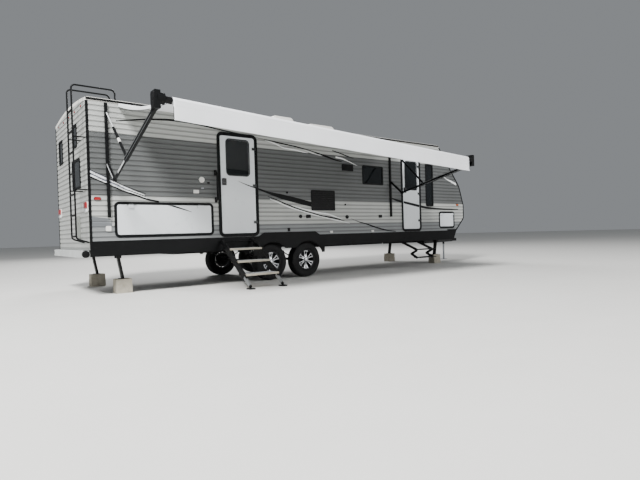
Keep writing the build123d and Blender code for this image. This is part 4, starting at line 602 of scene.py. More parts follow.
# Each stripe: finish, lowest and highest Z, knots of (X, middle Z, width), and runs of (surface, first X,
# last X). The surface is the wall of one side or a door's leaf. No run means both walls from end to end.
STRIPES = (
    ("film_low", 1.095, 1.3, ((0.03, 1.179, 0.168), (0.16, 1.169, 0.148), (0.29, 1.160, 0.130),
        (0.33, 1.143, 0.096), (0.36, 1.105, 0.020)), ()),
    ("film_grey", 1.5, 2.2, ((0.03, 1.928, 0.11), (0.26, 1.826, 0.10), (0.45, 1.756, 0.06),
        (0.66, 1.68, 0.02)), ()),
    ("film_black", 1.5, 2.2, ((0.03, 1.982, 0.012), (0.26, 1.879, 0.012), (0.45, 1.788, 0.012),
        (0.70, 1.695, 0.012), (0.87, 1.637, 0.010)), ()),
    ("film_white", 1.5, 2.2, ((0.03, 1.955, 0.024), (0.26, 1.852, 0.022), (0.42, 1.786, 0.020),
        (0.55, 1.724, 0.018), (0.70, 1.666, 0.015), (0.85, 1.613, 0.010)), ()),
    ("film_black", 1.5, 2.2, ((0.03, 1.928, 0.012), (0.26, 1.822, 0.012), (0.42, 1.770, 0.012),
        (0.53, 1.706, 0.012), (0.70, 1.644, 0.012), (0.87, 1.585, 0.010)), ()),
    ("film_white", 1.5, 2.2, ((0.03, 1.901, 0.023), (0.26, 1.796, 0.022), (0.38, 1.751, 0.021),
        (0.51, 1.695, 0.019), (0.74, 1.622, 0.016), (0.89, 1.564, 0.012)), ()),
    ("film_black", 1.5, 2.2, ((0.03, 1.873, 0.024), (0.26, 1.777, 0.024), (0.38, 1.729, 0.024),
        (0.51, 1.672, 0.024), (0.70, 1.609, 0.026), (0.89, 1.545, 0.030), (1.09, 1.508, 0.030)), ()),
    ("film_black", 1.0, 1.448, ((1.15, 1.485, 0.032), (1.34, 1.434, 0.028), (1.52, 1.381, 0.020),
        (1.66, 1.336, 0.006)), (("baggage_door_rear_leaf", 1.20, 1.66),)),
    ("film_black", 2.2, 3.03, ((0.438, 2.784, 0.014), (0.951, 2.871, 0.030), (1.367, 2.908, 0.034),
        (1.928, 2.882, 0.030), (2.193, 2.850, 0.024), (2.62, 2.812, 0.014), (3.08, 2.767, 0.008),
        (3.29, 2.751, 0.010), (3.47, 2.727, 0.032), (3.63, 2.710, 0.028), (3.95, 2.681, 0.024),
        (4.19, 2.649, 0.022), (4.41, 2.611, 0.020), (4.71, 2.546, 0.044), (5.06, 2.473, 0.030),
        (5.18, 2.457, 0.012)), ()),
    ("film_black", 2.2, 3.0, ((4.91, 2.683, 0.018), (5.11, 2.645, 0.025), (5.31, 2.599, 0.025),
        (5.52, 2.560, 0.014)), ()),
    ("film_white", 2.2, 3.0, ((3.22, 2.734, 0.008), (3.39, 2.708, 0.020), (3.52, 2.672, 0.022),
        (3.63, 2.633, 0.022), (3.75, 2.622, 0.022), (3.98, 2.605, 0.020), (4.15, 2.584, 0.014),
        (4.26, 2.578, 0.006)), ()),
    ("film_white", 2.2, 3.0, ((4.17, 2.629, 0.008), (4.33, 2.591, 0.014), (4.52, 2.561, 0.014),
        (4.71, 2.539, 0.012), (4.83, 2.509, 0.006)), ()),
    ("film_white", 2.2, 3.0, ((5.0, 2.545, 0.035), (5.21, 2.522, 0.030), (5.37, 2.479, 0.020),
        (5.56, 2.421, 0.010), (5.64, 2.403, 0.004)), (("camp", 5.0, 5.64),)),
    ("film_black", 1.0, 2.0, ((2.60, 1.916, 0.006), (2.78, 1.854, 0.018), (3.03, 1.786, 0.030),
        (3.28, 1.715, 0.050), (3.55, 1.654, 0.096), (3.92, 1.582, 0.110), (4.31, 1.506, 0.103),
        (4.80, 1.42, 0.08), (5.40, 1.31, 0.03), (5.80, 1.24, 0.006)),
        (("entry_door_rear_leaf", 2.60, 2.955), ("camp", 3.024, 4.298), ("road", 2.60, 5.80))),
    ("film_black", 0.882, 2.0, ((3.235, 1.649, 0.010), (3.41, 1.594, 0.020), (3.70, 1.493, 0.028),
        (3.96, 1.409, 0.024), (4.30, 1.331, 0.020), (4.52, 1.277, 0.024), (4.74, 1.241, 0.032),
        (4.88, 1.222, 0.034), (5.06, 1.192, 0.028), (5.21, 1.149, 0.008)), ()),
    ("film_white", 0.882, 2.0, ((3.29, 1.598, 0.008), (3.50, 1.526, 0.020), (3.715, 1.451, 0.022),
        (3.96, 1.389, 0.022), (4.31, 1.300, 0.020), (4.52, 1.258, 0.016), (5.10, 1.150, 0.016),
        (5.36, 1.104, 0.006)), ()),
    ("film_white", 0.882, 2.0, ((3.80, 1.481, 0.006), (4.0, 1.433, 0.018), (4.30, 1.365, 0.026),
        (4.50, 1.332, 0.028), (4.73, 1.305, 0.030), (4.88, 1.269, 0.026), (5.03, 1.225, 0.018),
        (5.14, 1.196, 0.004)), ()),
    ("film_black", 0.882, 2.0, ((5.40, 1.205, 0.006), (5.67, 1.123, 0.020), (5.79, 1.100, 0.024),
        (5.99, 1.047, 0.032), (6.19, 0.993, 0.036), (6.51, 0.927, 0.032), (6.84, 0.889, 0.016)), ()),
    ("film_black", 1.2, 2.0, ((6.71, 1.692, 0.020), (6.89, 1.648, 0.052), (7.08, 1.612, 0.056),
        (7.38, 1.564, 0.064), (7.76, 1.507, 0.064), (7.99, 1.474, 0.054), (8.32, 1.456, 0.042),
        (8.65, 1.444, 0.038), (9.0, 1.441, 0.034), (9.34, 1.441, 0.020)),
        (("camp", 6.71, 7.065), ("entry_door_front_leaf", 7.142, 7.718),
         ("camp", 7.795, 9.34), ("road", 6.71, 9.34))),
    ("film_white", 1.8, 2.5, ((8.74, 2.297, 0.012), (8.93, 2.222, 0.030), (9.05, 2.190, 0.044),
        (9.22, 2.140, 0.058), (9.27, 2.125, 0.058)), ()),
)
FILM_LIFT = {"film_low": 0.0006, "film_grey": 0.0009, "film_white": 0.0012, "film_black": 0.0015}


class CARAVAN_OT_stripes(Operator):
    """Lays the vinyl stripes over the ribbed walls and the door leaves"""

    bl_idname = "caravan.stripes"
    bl_label = "Stripes"

    def execute(self, context):
        names = list(FILM_LIFT)
        piles = {}
        for finish, low, high, knots, runs in STRIPES:
            for surface, x0, x1 in runs or [(side, knots[0][0], knots[-1][0]) for side in SIDES]:
                ribbed = surface in SIDES
                body, side = (BODY, surface) if ribbed else (surface, "camp")
                lift = FILM_LIFT[finish] + (0.0 if ribbed else LEAF_FACE - HALF_WIDTH)
                pile = piles.setdefault((body, side), Pile())
                film(pile, names.index(finish), knots, x0, x1, lift, SIDES[side], ribbed, (low, high))
        for (body, side), pile in piles.items():
            where = f"wall_{side}" if body == BODY else body.replace("_leaf", "")
            piece = pile.build("stripes_" + where, body, names, "siding", closed=False)
            normals = np.zeros(len(piece.data.polygons) * 3)
            piece.data.polygons.foreach_get("normal", normals)
            if np.median(normals.reshape(-1, 3)[:, 1]) * SIDES[side] < 0:
                piece.data.flip_normals()
        return {"FINISHED"}


# Wheels

TYRE_RADIUS = 0.359
CROWN_HALF = 0.094
TREAD_GROOVES = (-0.052, -0.018, 0.018, 0.052)
SPOKE_START = 0.045
SPOKE_END = 0.182
# Half the gap between a spoke's two arms at the hub.
SPOKE_GAP = 0.011
BOLT_CIRCLE = 0.047


def near(value, middle, half, edge):
    """One about a middle, with slopes of the edge's width that end at half a width to either side."""
    return np.clip((half - np.abs(value - middle)) / edge, 0, 1)


def tyre_grid(centre, sign, settings):
    """A tyre: a side profile carried round the axle. Over the crown the radius drops into straight
    grooves at four places across and into slanting ones at each lug, both with steep walls."""
    side = [(0.1965, 0.070), (0.207, 0.0862), (0.214, 0.0905), (0.222, 0.0905), (0.228, 0.098),
            (0.250, 0.108), (0.278, 0.1122), (0.300, 0.1118), (0.318, 0.108), (0.332, 0.103), (0.343, 0.098)]
    crown = [(TYRE_RADIUS - 0.010 * (abs(a) / CROWN_HALF) ** 4 - 0.0008 * (a / CROWN_HALF) ** 2, a)
             for a in np.linspace(CROWN_HALF, -CROWN_HALF, 61)]
    profile = np.array(side + crown + [(r, -a) for r, a in side[::-1]])
    steps = 320
    t = np.linspace(0, 2 * np.pi, steps, endpoint=False)
    radius = np.repeat(profile[:, :1], steps, 1)
    place = np.repeat(profile[:, 1:], steps, 1)
    tread = near(place, 0.0, 0.1, 0.002) * (radius > 0.34)
    ring = np.zeros_like(place)
    for middle in TREAD_GROOVES:
        ring = np.maximum(ring, near(place, middle, 0.0048, 0.0016))
    phase = t[None] * settings.lugs / (2 * np.pi) + place * 14 * np.sign(place + 1e-9)
    slot = near(phase, np.round(phase), 0.13, 0.05) * (np.abs(place) > 0.02)
    radius = radius - settings.tread_depth * tread * np.maximum(ring, slot * 0.8)
    # Two thin raised lines run round each side wall.
    mark = near(radius, 0.262, 0.0035, 0.001) + near(radius, 0.318, 0.002, 0.001)
    place = place + np.sign(place) * 0.0012 * mark * (np.abs(place) > 0.1)
    x = centre[0] + radius * np.cos(t)
    z = centre[2] + radius * np.sin(t)
    return np.stack([x, centre[1] + sign * place, z], -1)


def clock(index, count):
    """Angle of one of several places spread evenly round a circle, the first at the top."""
    return 2 * math.pi * index / count + math.pi / 2


def spoke_points(centre, sign, angle, radius, aside, level):
    """Points of a wheel at a radius along one angle, set aside from it and at a level along the axle."""
    x = radius * math.cos(angle) - aside * math.sin(angle)
    z = radius * math.sin(angle) + aside * math.cos(angle)
    return np.asarray(centre) + np.stack([x, sign * level, z], -1)


def rim_pile(centre, sign, settings):
    """A cast wheel. Each of its split spokes is two arms: an arm's section is a flat-topped ridge, and its
    middle line leaves the hub and spreads sideways with the square of the way to the rim."""
    pile = Pile()
    axis = (0.0, sign, 0.0)
    # Profiles of (radius, place along the axle), with the number of steps round and the finish.
    for profile, steps, finish in (
            # The lip, darker than the spokes.
            ([(0.1955, 0.080), (0.198, 0.085), (0.2065, 0.0895), (0.2062, 0.0945), (0.200, 0.0955),
              (0.193, 0.093)], 96, 3),
            # The barrel between both lips.
            ([(0.193, 0.093), (0.188, 0.087), (0.184, 0.074), (0.180, 0.050), (0.176, -0.080),
              (0.183, -0.094), (0.196, -0.094), (0.205, -0.0945), (0.2065, -0.090), (0.198, -0.084),
              (0.1955, -0.080), (0.1955, 0.080)], 96, 1),
            # The dark well behind the spokes.
            ([(0.0, -0.072), (0.168, -0.072), (0.168, -0.066), (0.130, -0.062), (0.130, -0.018),
              (0.118, -0.010), (0.06, -0.010), (0.0, -0.010)], 48, 1)):
        pile.wrap(turned(profile, centre, axis, steps), finish)
    t = np.linspace(0, 1, 13)
    radius = SPOKE_START + t * (SPOKE_END - SPOKE_START)
    half = 0.0135 - 0.004 * np.sin(np.pi * t) + 0.006 * t ** 6
    level = 0.070 - 0.012 * np.sin(np.pi * t) + 0.008 * t
    ridge = np.array([(-1, -0.030), (-1, -0.006), (-0.72, 0.0), (0.72, 0.0), (1, -0.006), (1, -0.030)])
    machined = np.array([(-0.86, -0.004), (-0.74, 0.0012), (0.74, 0.0012), (0.86, -0.004)])
    # A machined bow joins the ends of a spoke's arms along the rim.
    s = np.linspace(-1, 1, 13)[:, None]
    bow = np.array([(-0.008, -0.006), (-0.006, 0.0012), (0.006, 0.0012), (0.008, -0.006)])
    bow_radius = 0.181 - 0.007 * s ** 2 + bow[None, :, 0]
    bow_aside = s * (SPOKE_GAP + settings.split * 0.9) + 0 * bow_radius
    bow_level = 0.078 + bow[None, :, 1] + 0 * bow_radius
    for index in range(settings.spokes):
        angle = clock(index, settings.spokes)
        for arm in (-1, 1):
            middle = arm * (SPOKE_GAP + settings.split * t ** 2 * 0.9)
            for section, finish in ((ridge, 1), (machined, 0)):
                aside = middle[:, None] + half[:, None] * section[None, :, 0]
                out = level[:, None] + section[None, :, 1]
                pile.wrap(capped(spoke_points(centre, sign, angle, radius[:, None], aside, out)), finish)
        pile.wrap(capped(spoke_points(centre, sign, angle, bow_radius, bow_aside, bow_level)))
    hub = [(0.0, 0.0), (0.062, 0.0), (0.064, 0.050), (0.060, 0.066), (0.052, 0.070), (0.0, 0.070)]
    cap = [(0.0, 0.066), (0.034, 0.066), (0.034, 0.086), (0.030, 0.092), (0.018, 0.0945), (0.0, 0.095)]
    nut = [(0.0, 0.06), (0.0095, 0.06), (0.0095, 0.080), (0.006, 0.086), (0.0, 0.087)]
    pile.wrap(turned(hub, centre, axis, 48), 1)
    pile.wrap(turned(cap, centre, axis, 48))
    for index in range(settings.spokes):
        angle = clock(index + 0.5, settings.spokes)
        at = np.array([BOLT_CIRCLE * math.cos(angle), 0.0, BOLT_CIRCLE * math.sin(angle)])
        pile.wrap(turned(nut, np.asarray(centre) + at, axis, 6), 2)
    return pile


class CARAVAN_OT_wheels(Operator):
    """Makes the four treaded tyres and cast wheels"""

    bl_idname = "caravan.wheels"
    bl_label = "Wheels"

    def execute(self, context):
        settings = context.scene.caravan_wheels
        for which in ("rear", "front"):
            for side, sign in SIDES.items():
                centre = sum(own(f"tyre_{which}_{side}")) / 2
                body = f"wheel_{which}_{side}"
                pile = Pile()
                pile.grid(tyre_grid(centre, sign, settings), 0, close_cols=True, close_rows=True)
                tyre = pile.build(f"treaded_tyre_{which}_{side}", body, ["rubber"], "tyre", 30)
                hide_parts(f"tyre_{which}_{side}")
                names = ("turned_alloy", "pocket", "zinc", "spring")
                pile = rim_pile(centre, sign, settings)
                rim = pile.build(f"cast_wheel_{which}_{side}", body, names, "rim", 28)
                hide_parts(f"rim_{which}_{side}")
        return {"FINISHED"}


# Awning cloth

def arc_through(first, middle, last, count):
    """Points on the circle through three points in a plane, from the first to the last. The centre is
    where the two chords' middle lines cross; each input may be an array of points."""
    (ax, ay), (bx, by), (cx, cy) = (np.moveaxis(np.asarray(p, float), -1, 0) for p in (first, middle, last))
    a2, b2, c2 = ax ** 2 + ay ** 2, bx ** 2 + by ** 2, cx ** 2 + cy ** 2
    d = 2 * (ax * (by - cy) + bx * (cy - ay) + cx * (ay - by))
    ux = (a2 * (by - cy) + b2 * (cy - ay) + c2 * (ay - by)) / d
    uy = (a2 * (cx - bx) + b2 * (ax - cx) + c2 * (bx - ax)) / d
    radius = np.hypot(ax - ux, ay - uy)
    start, end = np.arctan2(ay - uy, ax - ux), np.arctan2(cy - uy, cx - ux)
    turn = (end - start + np.pi) % (2 * np.pi) - np.pi
    angle = start + turn * np.linspace(0, 1, count)[:, None]
    return np.stack([ux + radius * np.cos(angle), uy + radius * np.sin(angle)], -1)


def roller_height(x):
    """Height of the awning roller's middle line, which falls evenly from its rear end to its front end."""
    low, high = own("awning_roller")
    slope = (high[2] - low[2] - 2 * ROLLER_CAP) / (high[0] - low[0])
    return high[2] - ROLLER_CAP - (x - low[0]) * slope


# Columns of points along the cloth, and rows in its sheet, in its turn over the roller and in its valance.
CLOTH_COLUMNS = 241
SHEET_ROWS = 61
BEND_ROWS = 8
VALANCE_ROWS = 24
VALANCE_START = SHEET_ROWS + BEND_ROWS


class CARAVAN_OT_awning(Operator):
    """Hangs the awning cloth from the wall over its roller, with its seams, hem and valance"""

    bl_idname = "caravan.awning"
    bl_label = "Awning cloth"

    def execute(self, context):
        settings = context.scene.caravan_awning
        low, high = own("awning_canopy")
        roller_y = sum(own("awning_roller"))[1] / 2
        x0, x1 = low[0] + 0.002, high[0] - 0.002
        x = np.linspace(x0, x1, CLOTH_COLUMNS)
        # The cloth goes round the roller at this distance from its middle line.
        over = 0.0428 + 0.0045
        centre = roller_height(x)
        wall = np.array([(high[1] - 0.0005, high[2] - 0.0015)] * CLOTH_COLUMNS)
        top = np.stack([np.full_like(x, roller_y), centre + over], -1)
        middle = (wall + top) / 2
        middle[:, 1] -= settings.sag - 0.002
        sheet = arc_through(wall, middle, top, SHEET_ROWS)
        ripple = 0.004 * np.sin(x * 5.1 + 0.7) * np.sin(x * 1.7)
        share = np.linspace(0, 1, SHEET_ROWS)[:, None]
        sheet[..., 1] += ripple * np.sin(np.pi * share) ** 2 * 0.8
        turn = np.linspace(0, np.pi / 2, BEND_ROWS + 1)[1:, None]
        bend = np.stack([roller_y - over * np.sin(turn) + 0 * centre, centre + over * np.cos(turn)], -1)
        drop = np.linspace(0, 1, VALANCE_ROWS + 1)[1:, None] * (settings.valance - 0.012)
        wave = settings.wave * np.sin(x * 9.3) * np.sin(x * 2.1 + 1) * (drop / settings.valance) ** 1.5
        hang = np.stack([roller_y - over + wave, centre - drop], -1)
        cloth = np.concatenate([sheet, bend, hang])
        points = np.concatenate([np.broadcast_to(x, cloth.shape[:2])[..., None], cloth], -1)
        pile = Pile()
        pile.grid(points)
        piece = pile.build("awning_cloth", BODY, ["cloth"], "fabric", 60, closed=False)
        solid = piece.modifiers.new("thickness", "SOLIDIFY")
        solid.thickness = 0.0012
        solid.offset = 0
        hem = Pile()
        hem.wrap(capped(along(points[-1], circle(0.0055, 12))))
        strip = np.array([(-0.0006, 0.0), (0.0006, 0.0), (0.0006, -0.05), (-0.0006, -0.05)])
        for column in (0, -1):
            edge = points[:SHEET_ROWS - 1, column]
            hem.wrap(capped(along(edge, strip)))
            # Black piping under each side hem; its dark line is partly painted shade under the hem's edge.
            hem.wrap(capped(along(edge - [0, 0, 0.05], circle(0.004, 10))), 1)
            hem.wrap(capped(along(points[VALANCE_START + 7:, column], circle(0.0038, 10))), 1)
        rail = np.stack([x, np.full_like(x, wall[0, 0] - 0.003), np.full_like(x, wall[0, 1] - 0.003)], -1)
        hem.wrap(capped(along(rail, circle(0.006, 12))))
        for row in (VALANCE_START - 1, VALANCE_START + 5, VALANCE_START + 21):
            hem.wrap(capped(along(points[row] + np.array([0, -0.0008, 0.0]), circle(0.0011, 6))))
        hemming = hem.build("awning_hems", BODY, ["cloth", "film_black"], "fabric")
        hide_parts("awning_canopy")
        return {"FINISHED"}


# How far the awning's heads stand out from the wall, half the distance across an arm, and the Y of its
# knee and of its strut's foot.
AWNING_REACH = 2.25
ARM_HALF = 0.035
KNEE_Y = -1.600
STRUT_Y = -1.246


class CARAVAN_OT_awning_arms(Operator):
    """Puts the bright strips, sleeves and cover plates on the awning's arms and roller. The strips are
    painted highlights along both arms, and partly painted sunlight on the rear arm's slide and link
    """

    bl_idname = "caravan.awning_arms"
    bl_label = "Awning arms"

    def execute(self, context):
        low, high = own("awning_frame")
        head_y = -HALF_WIDTH - AWNING_REACH
        pile = Pile()
        # Each arm: X of its middle and of its outer side, heights of its knee and its head, and the way that
        # its outer side faces.
        for x, face, knee_z, head_z, out in ((low[0] + ARM_HALF, low[0], 1.800, 2.590, "rear"),
                                             (high[0] - ARM_HALF, high[0], 1.790, 2.296, "front")):
            knee = np.array([x, KNEE_Y, knee_z])
            arm = np.array([x, head_y + 0.02, head_z - 0.1]) - knee
            for sign in (-1, 1):
                # Both arms: thin aluminium strips along the outer arm's edges are painted highlights.
                for up in (-0.027, 0.020):
                    pile.wrap(flat_strip(knee + 0.34 * arm, knee + 0.93 * arm, sign * 0.0195, sign * 0.0212,
                                         up, up + 0.007))
                # Rear arm only: bright strips on its slide and its link. The slide is bare metal, but because
                # they are left off the front arm these strips are partly painted sunlight on the lit rear
                # arm.
                if out == "rear":
                    pile.wrap(flat_strip(knee + 0.12 * arm, knee + 0.30 * arm, sign * 0.0135, sign * 0.0152,
                                         -0.015, 0.015), 1)
                    pile.wrap(flat_strip((x, -1.262, knee_z + 0.276), knee + [0, 0.03, 0.024],
                                         sign * 0.0165, sign * 0.0182, -0.011, 0.011), 1)
            strut = np.array([x, STRUT_Y, SIDE_TOP - 0.190])
            way = knee + 0.35 * arm - strut
            start = strut + 0.38 * way
            back = way / np.linalg.norm(way)
            pile.wrap(sleeve(strut + 0.06 * back, start - 0.01 * back, 0.0100), 1)
            # The strut's white collar is a real label, but it goes on the lit rear arm only, so it is partly
            # painted sunlight.
            if out == "rear":
                pile.wrap(sleeve(start + 0.32 * back, start + 0.42 * back, 0.0214), 2)
            pile.wrap(plate(out, (face, head_y + 0.016, head_z - 0.02), 0.064, 0.100, 0.03, 0.009, 0.005,
                            back=-0.003), 3)
            pile.wrap(plate(out, (face, head_y + 0.005, head_z), 0.034, 0.034, 0.034, 0.013, 0.003), 3)
        roller_low, roller_high = own("awning_roller")
        cloth_low, cloth_high = own("awning_canopy")
        for run in ((roller_low[0] + 0.002, cloth_low[0]), (cloth_high[0], roller_high[0] - 0.002)):
            pile.wrap(sleeve(*((x, head_y, roller_height(x)) for x in run), 0.0436, 32), 3)
        names = ("aluminium", "satin_alloy", "white_plastic", "black_plastic")
        pile.build("awning_arm_trim_and_painted_highlights", BODY, names, "alu", 34)
        return {"FINISHED"}


# Roof fittings

# Lengths of the two roof coolers, and how far the front one's top lies below the rear one's.
REAR_COOLER = 0.65
FRONT_COOLER = 0.84
FRONT_COOLER_DROP = 0.07
VENT_HALF = 0.2
MIDDLE_VENT = 2.9
EDGE_STRIP_END = 8.52


def crown(y):
    """Height of the crowned roof: a circle through both roof edges and the middle of the roof."""
    rise = ROOF_TOP - SIDE_TOP
    radius = (HALF_WIDTH ** 2 + rise ** 2) / (2 * rise)
    return SIDE_TOP + rise - radius + np.sqrt(radius ** 2 - np.asarray(y) ** 2)


def shroud(x0, x1, half, top, radius, rows):
    """A moulded hood over the roof. Each row is a rounded outline drawn in by the row's inset; its height
    runs from the crowned roof to the top by the row's share."""
    middle, long = (x0 + x1) / 2, (x1 - x0) / 2
    grids = []
    for inset, share in rows:
        flat = outline(long - inset, half - inset, max(radius - inset, 0.01))
        base = crown(flat[:, 1])
        grids.append(np.stack([middle + flat[:, 0], flat[:, 1], base + share * (top - base)], -1))
    inner = outline(long - rows[-1][0], half - rows[-1][0], max(radius - rows[-1][0], 0.01))
    for share in (0.6, 0.25, 0.0):
        flat = inner * share
        grids.append(np.stack([middle + flat[:, 0], flat[:, 1], np.full(len(flat), top)], -1))
    floor = np.stack([np.full(len(inner), middle), np.zeros(len(inner)), np.full(len(inner), crown(0.0))], -1)
    return np.array([floor] + grids)


class CARAVAN_OT_roof(Operator):
    """Moulds the hoods of the roof coolers and the lids of the vents"""

    bl_idname = "caravan.roof"
    bl_label = "Roof fittings"

    def execute(self, context):
        low, high = own("roof_air_units")
        pile = Pile()
        rows = [(0.0, 0.0), (0.0, 0.10), (0.012, 0.16), (0.030, 0.62), (0.055, 0.82), (0.095, 0.94),
                (0.15, 0.985), (0.20, 1.0)]
        for x0, x1, top in ((low[0], low[0] + REAR_COOLER, high[2]),
                            (high[0] - FRONT_COOLER, high[0], high[2] - FRONT_COOLER_DROP)):
            pile.wrap(shroud(x0, x1, high[1], top, 0.12, rows))
            # Seven upright slots in each side of a hood and five level ones in its rear end. They are not
            # cut: each is a black block, whose dark stands partly for the parts behind an opening and partly
            # for painted shade inside it.
            tall = top - crown(0.0)
            level = crown(0.0) + 0.62 * tall * 0.6
            for y in (0.018 - high[1], high[1] - 0.018):
                for index in range(7):
                    x = (x0 + x1) / 2 + (index - 3) * 0.062
                    pile.wrap(box_grid((x - 0.019, y - 0.012, level - 0.055),
                                       (x + 0.019, y + 0.012, level + 0.055), 0.004), 1)
            for index in range(5):
                level = crown(0.0) + (0.16 + 0.09 * index) * tall
                foot = (x0 + 0.004 + index * 0.004, -0.2, level)
                pile.wrap(box_grid(foot, (x0 + 0.05, 0.2, level + 0.014), 0.003), 1)
        hoods = pile.build("roof_cooler_hoods", BODY, ["white_plastic", "black_plastic"], "white_plastic", 36)
        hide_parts("roof_air_units")
        low, high = own("roof_vents")
        pile = Pile()
        rows = [(0.0, 0.0), (0.0, 0.25), (0.012, 0.28), (0.012, 0.40), (0.0, 0.44), (0.0, 0.80),
                (0.008, 0.92), (0.03, 0.98), (0.08, 1.0)]
        for x in (low[0] + VENT_HALF, MIDDLE_VENT, high[0] - VENT_HALF):
            pile.wrap(shroud(x - VENT_HALF, x + VENT_HALF, high[1], high[2] - 0.001, 0.04, rows))
        lids = pile.build("roof_vent_lids", BODY, ["white_plastic"], "white_plastic", 36)
        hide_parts("roof_vents")
        pile = Pile()
        for sign in (-1, 1):
            y0, y1 = sorted((sign * (HALF_WIDTH - 0.03), sign * (HALF_WIDTH + 0.0155)))
            pile.wrap(box_grid((0.01, y0, SIDE_TOP - 0.001), (EDGE_STRIP_END, y1, SIDE_TOP + 0.004), 0.002))
        pile.build("roof_edge_strips", BODY, ["roof"], "roof", 34)
        return {"FINISHED"}


# Lamps

class CARAVAN_OT_lamps(Operator):
    """Makes the tail lamps, the markers and the small wall lamps"""

    bl_idname = "caravan.lamps"
    bl_label = "Lamps"

    def execute(self, context):
        high = own("lamps")[1]
        names = ("lens_red", "lens_amber", "lens_clear", "white_plastic", "black_plastic")
        pile = Pile()
        for face, sign in SIDES.items():
            # The tail lamp's base, its red lens and its clear one: height, half sizes, corner radius,
            # thickness, bevel, dome and finish.
            for z, wide, tall, radius, thick, bevel, dome, finish in (
                    (1.4175, 0.1, 0.0875, 0.03, 0.010, 0.004, 0.0, 3),
                    (1.444, 0.09, 0.053, 0.026, 0.027, 0.010, 0.004, 0),
                    (1.360, 0.09, 0.024, 0.018, 0.022, 0.008, 0.004, 2)):
                at = (0.0, sign * (HALF_WIDTH - 0.18), z)
                pile.wrap(plate("rear", at, wide, tall, radius, thick, bevel, dome=dome), finish)
            for x, z, finish in ((0.123, 1.538, 0), (high[0] - 0.055, 1.560, 1)):
                at = (x, sign * HALF_WIDTH, z)
                pile.wrap(plate(face, at, 0.055, 0.027, 0.024, 0.006, 0.002), 4)
                pile.wrap(plate(face, at, 0.049, 0.021, 0.020, 0.015, 0.008, dome=0.003), finish)
        for index in range(-2, 3):
            at = (0.0, index * 0.45, SIDE_TOP - 0.075)
            pile.wrap(plate("rear", at, 0.032, 0.014, 0.012, 0.004, 0.001), 4)
            pile.wrap(plate("rear", at, 0.028, 0.011, 0.010, 0.011, 0.005, dome=0.003))
        piece = pile.build("lamp_lenses", BODY, names, "lens", 34)
        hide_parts("lamps")
        return {"FINISHED"}


# Fittings on the walls and frame

RUNGS = 7
FIRST_RUNG = 0.96
RUNG_PITCH = 0.323
# Places of the step treads, as shares of the way down from the hinge, and half a tread's depth.
TREAD_PLACES = (0.18, 0.46, 0.74)
TREAD_HALF = 0.1265


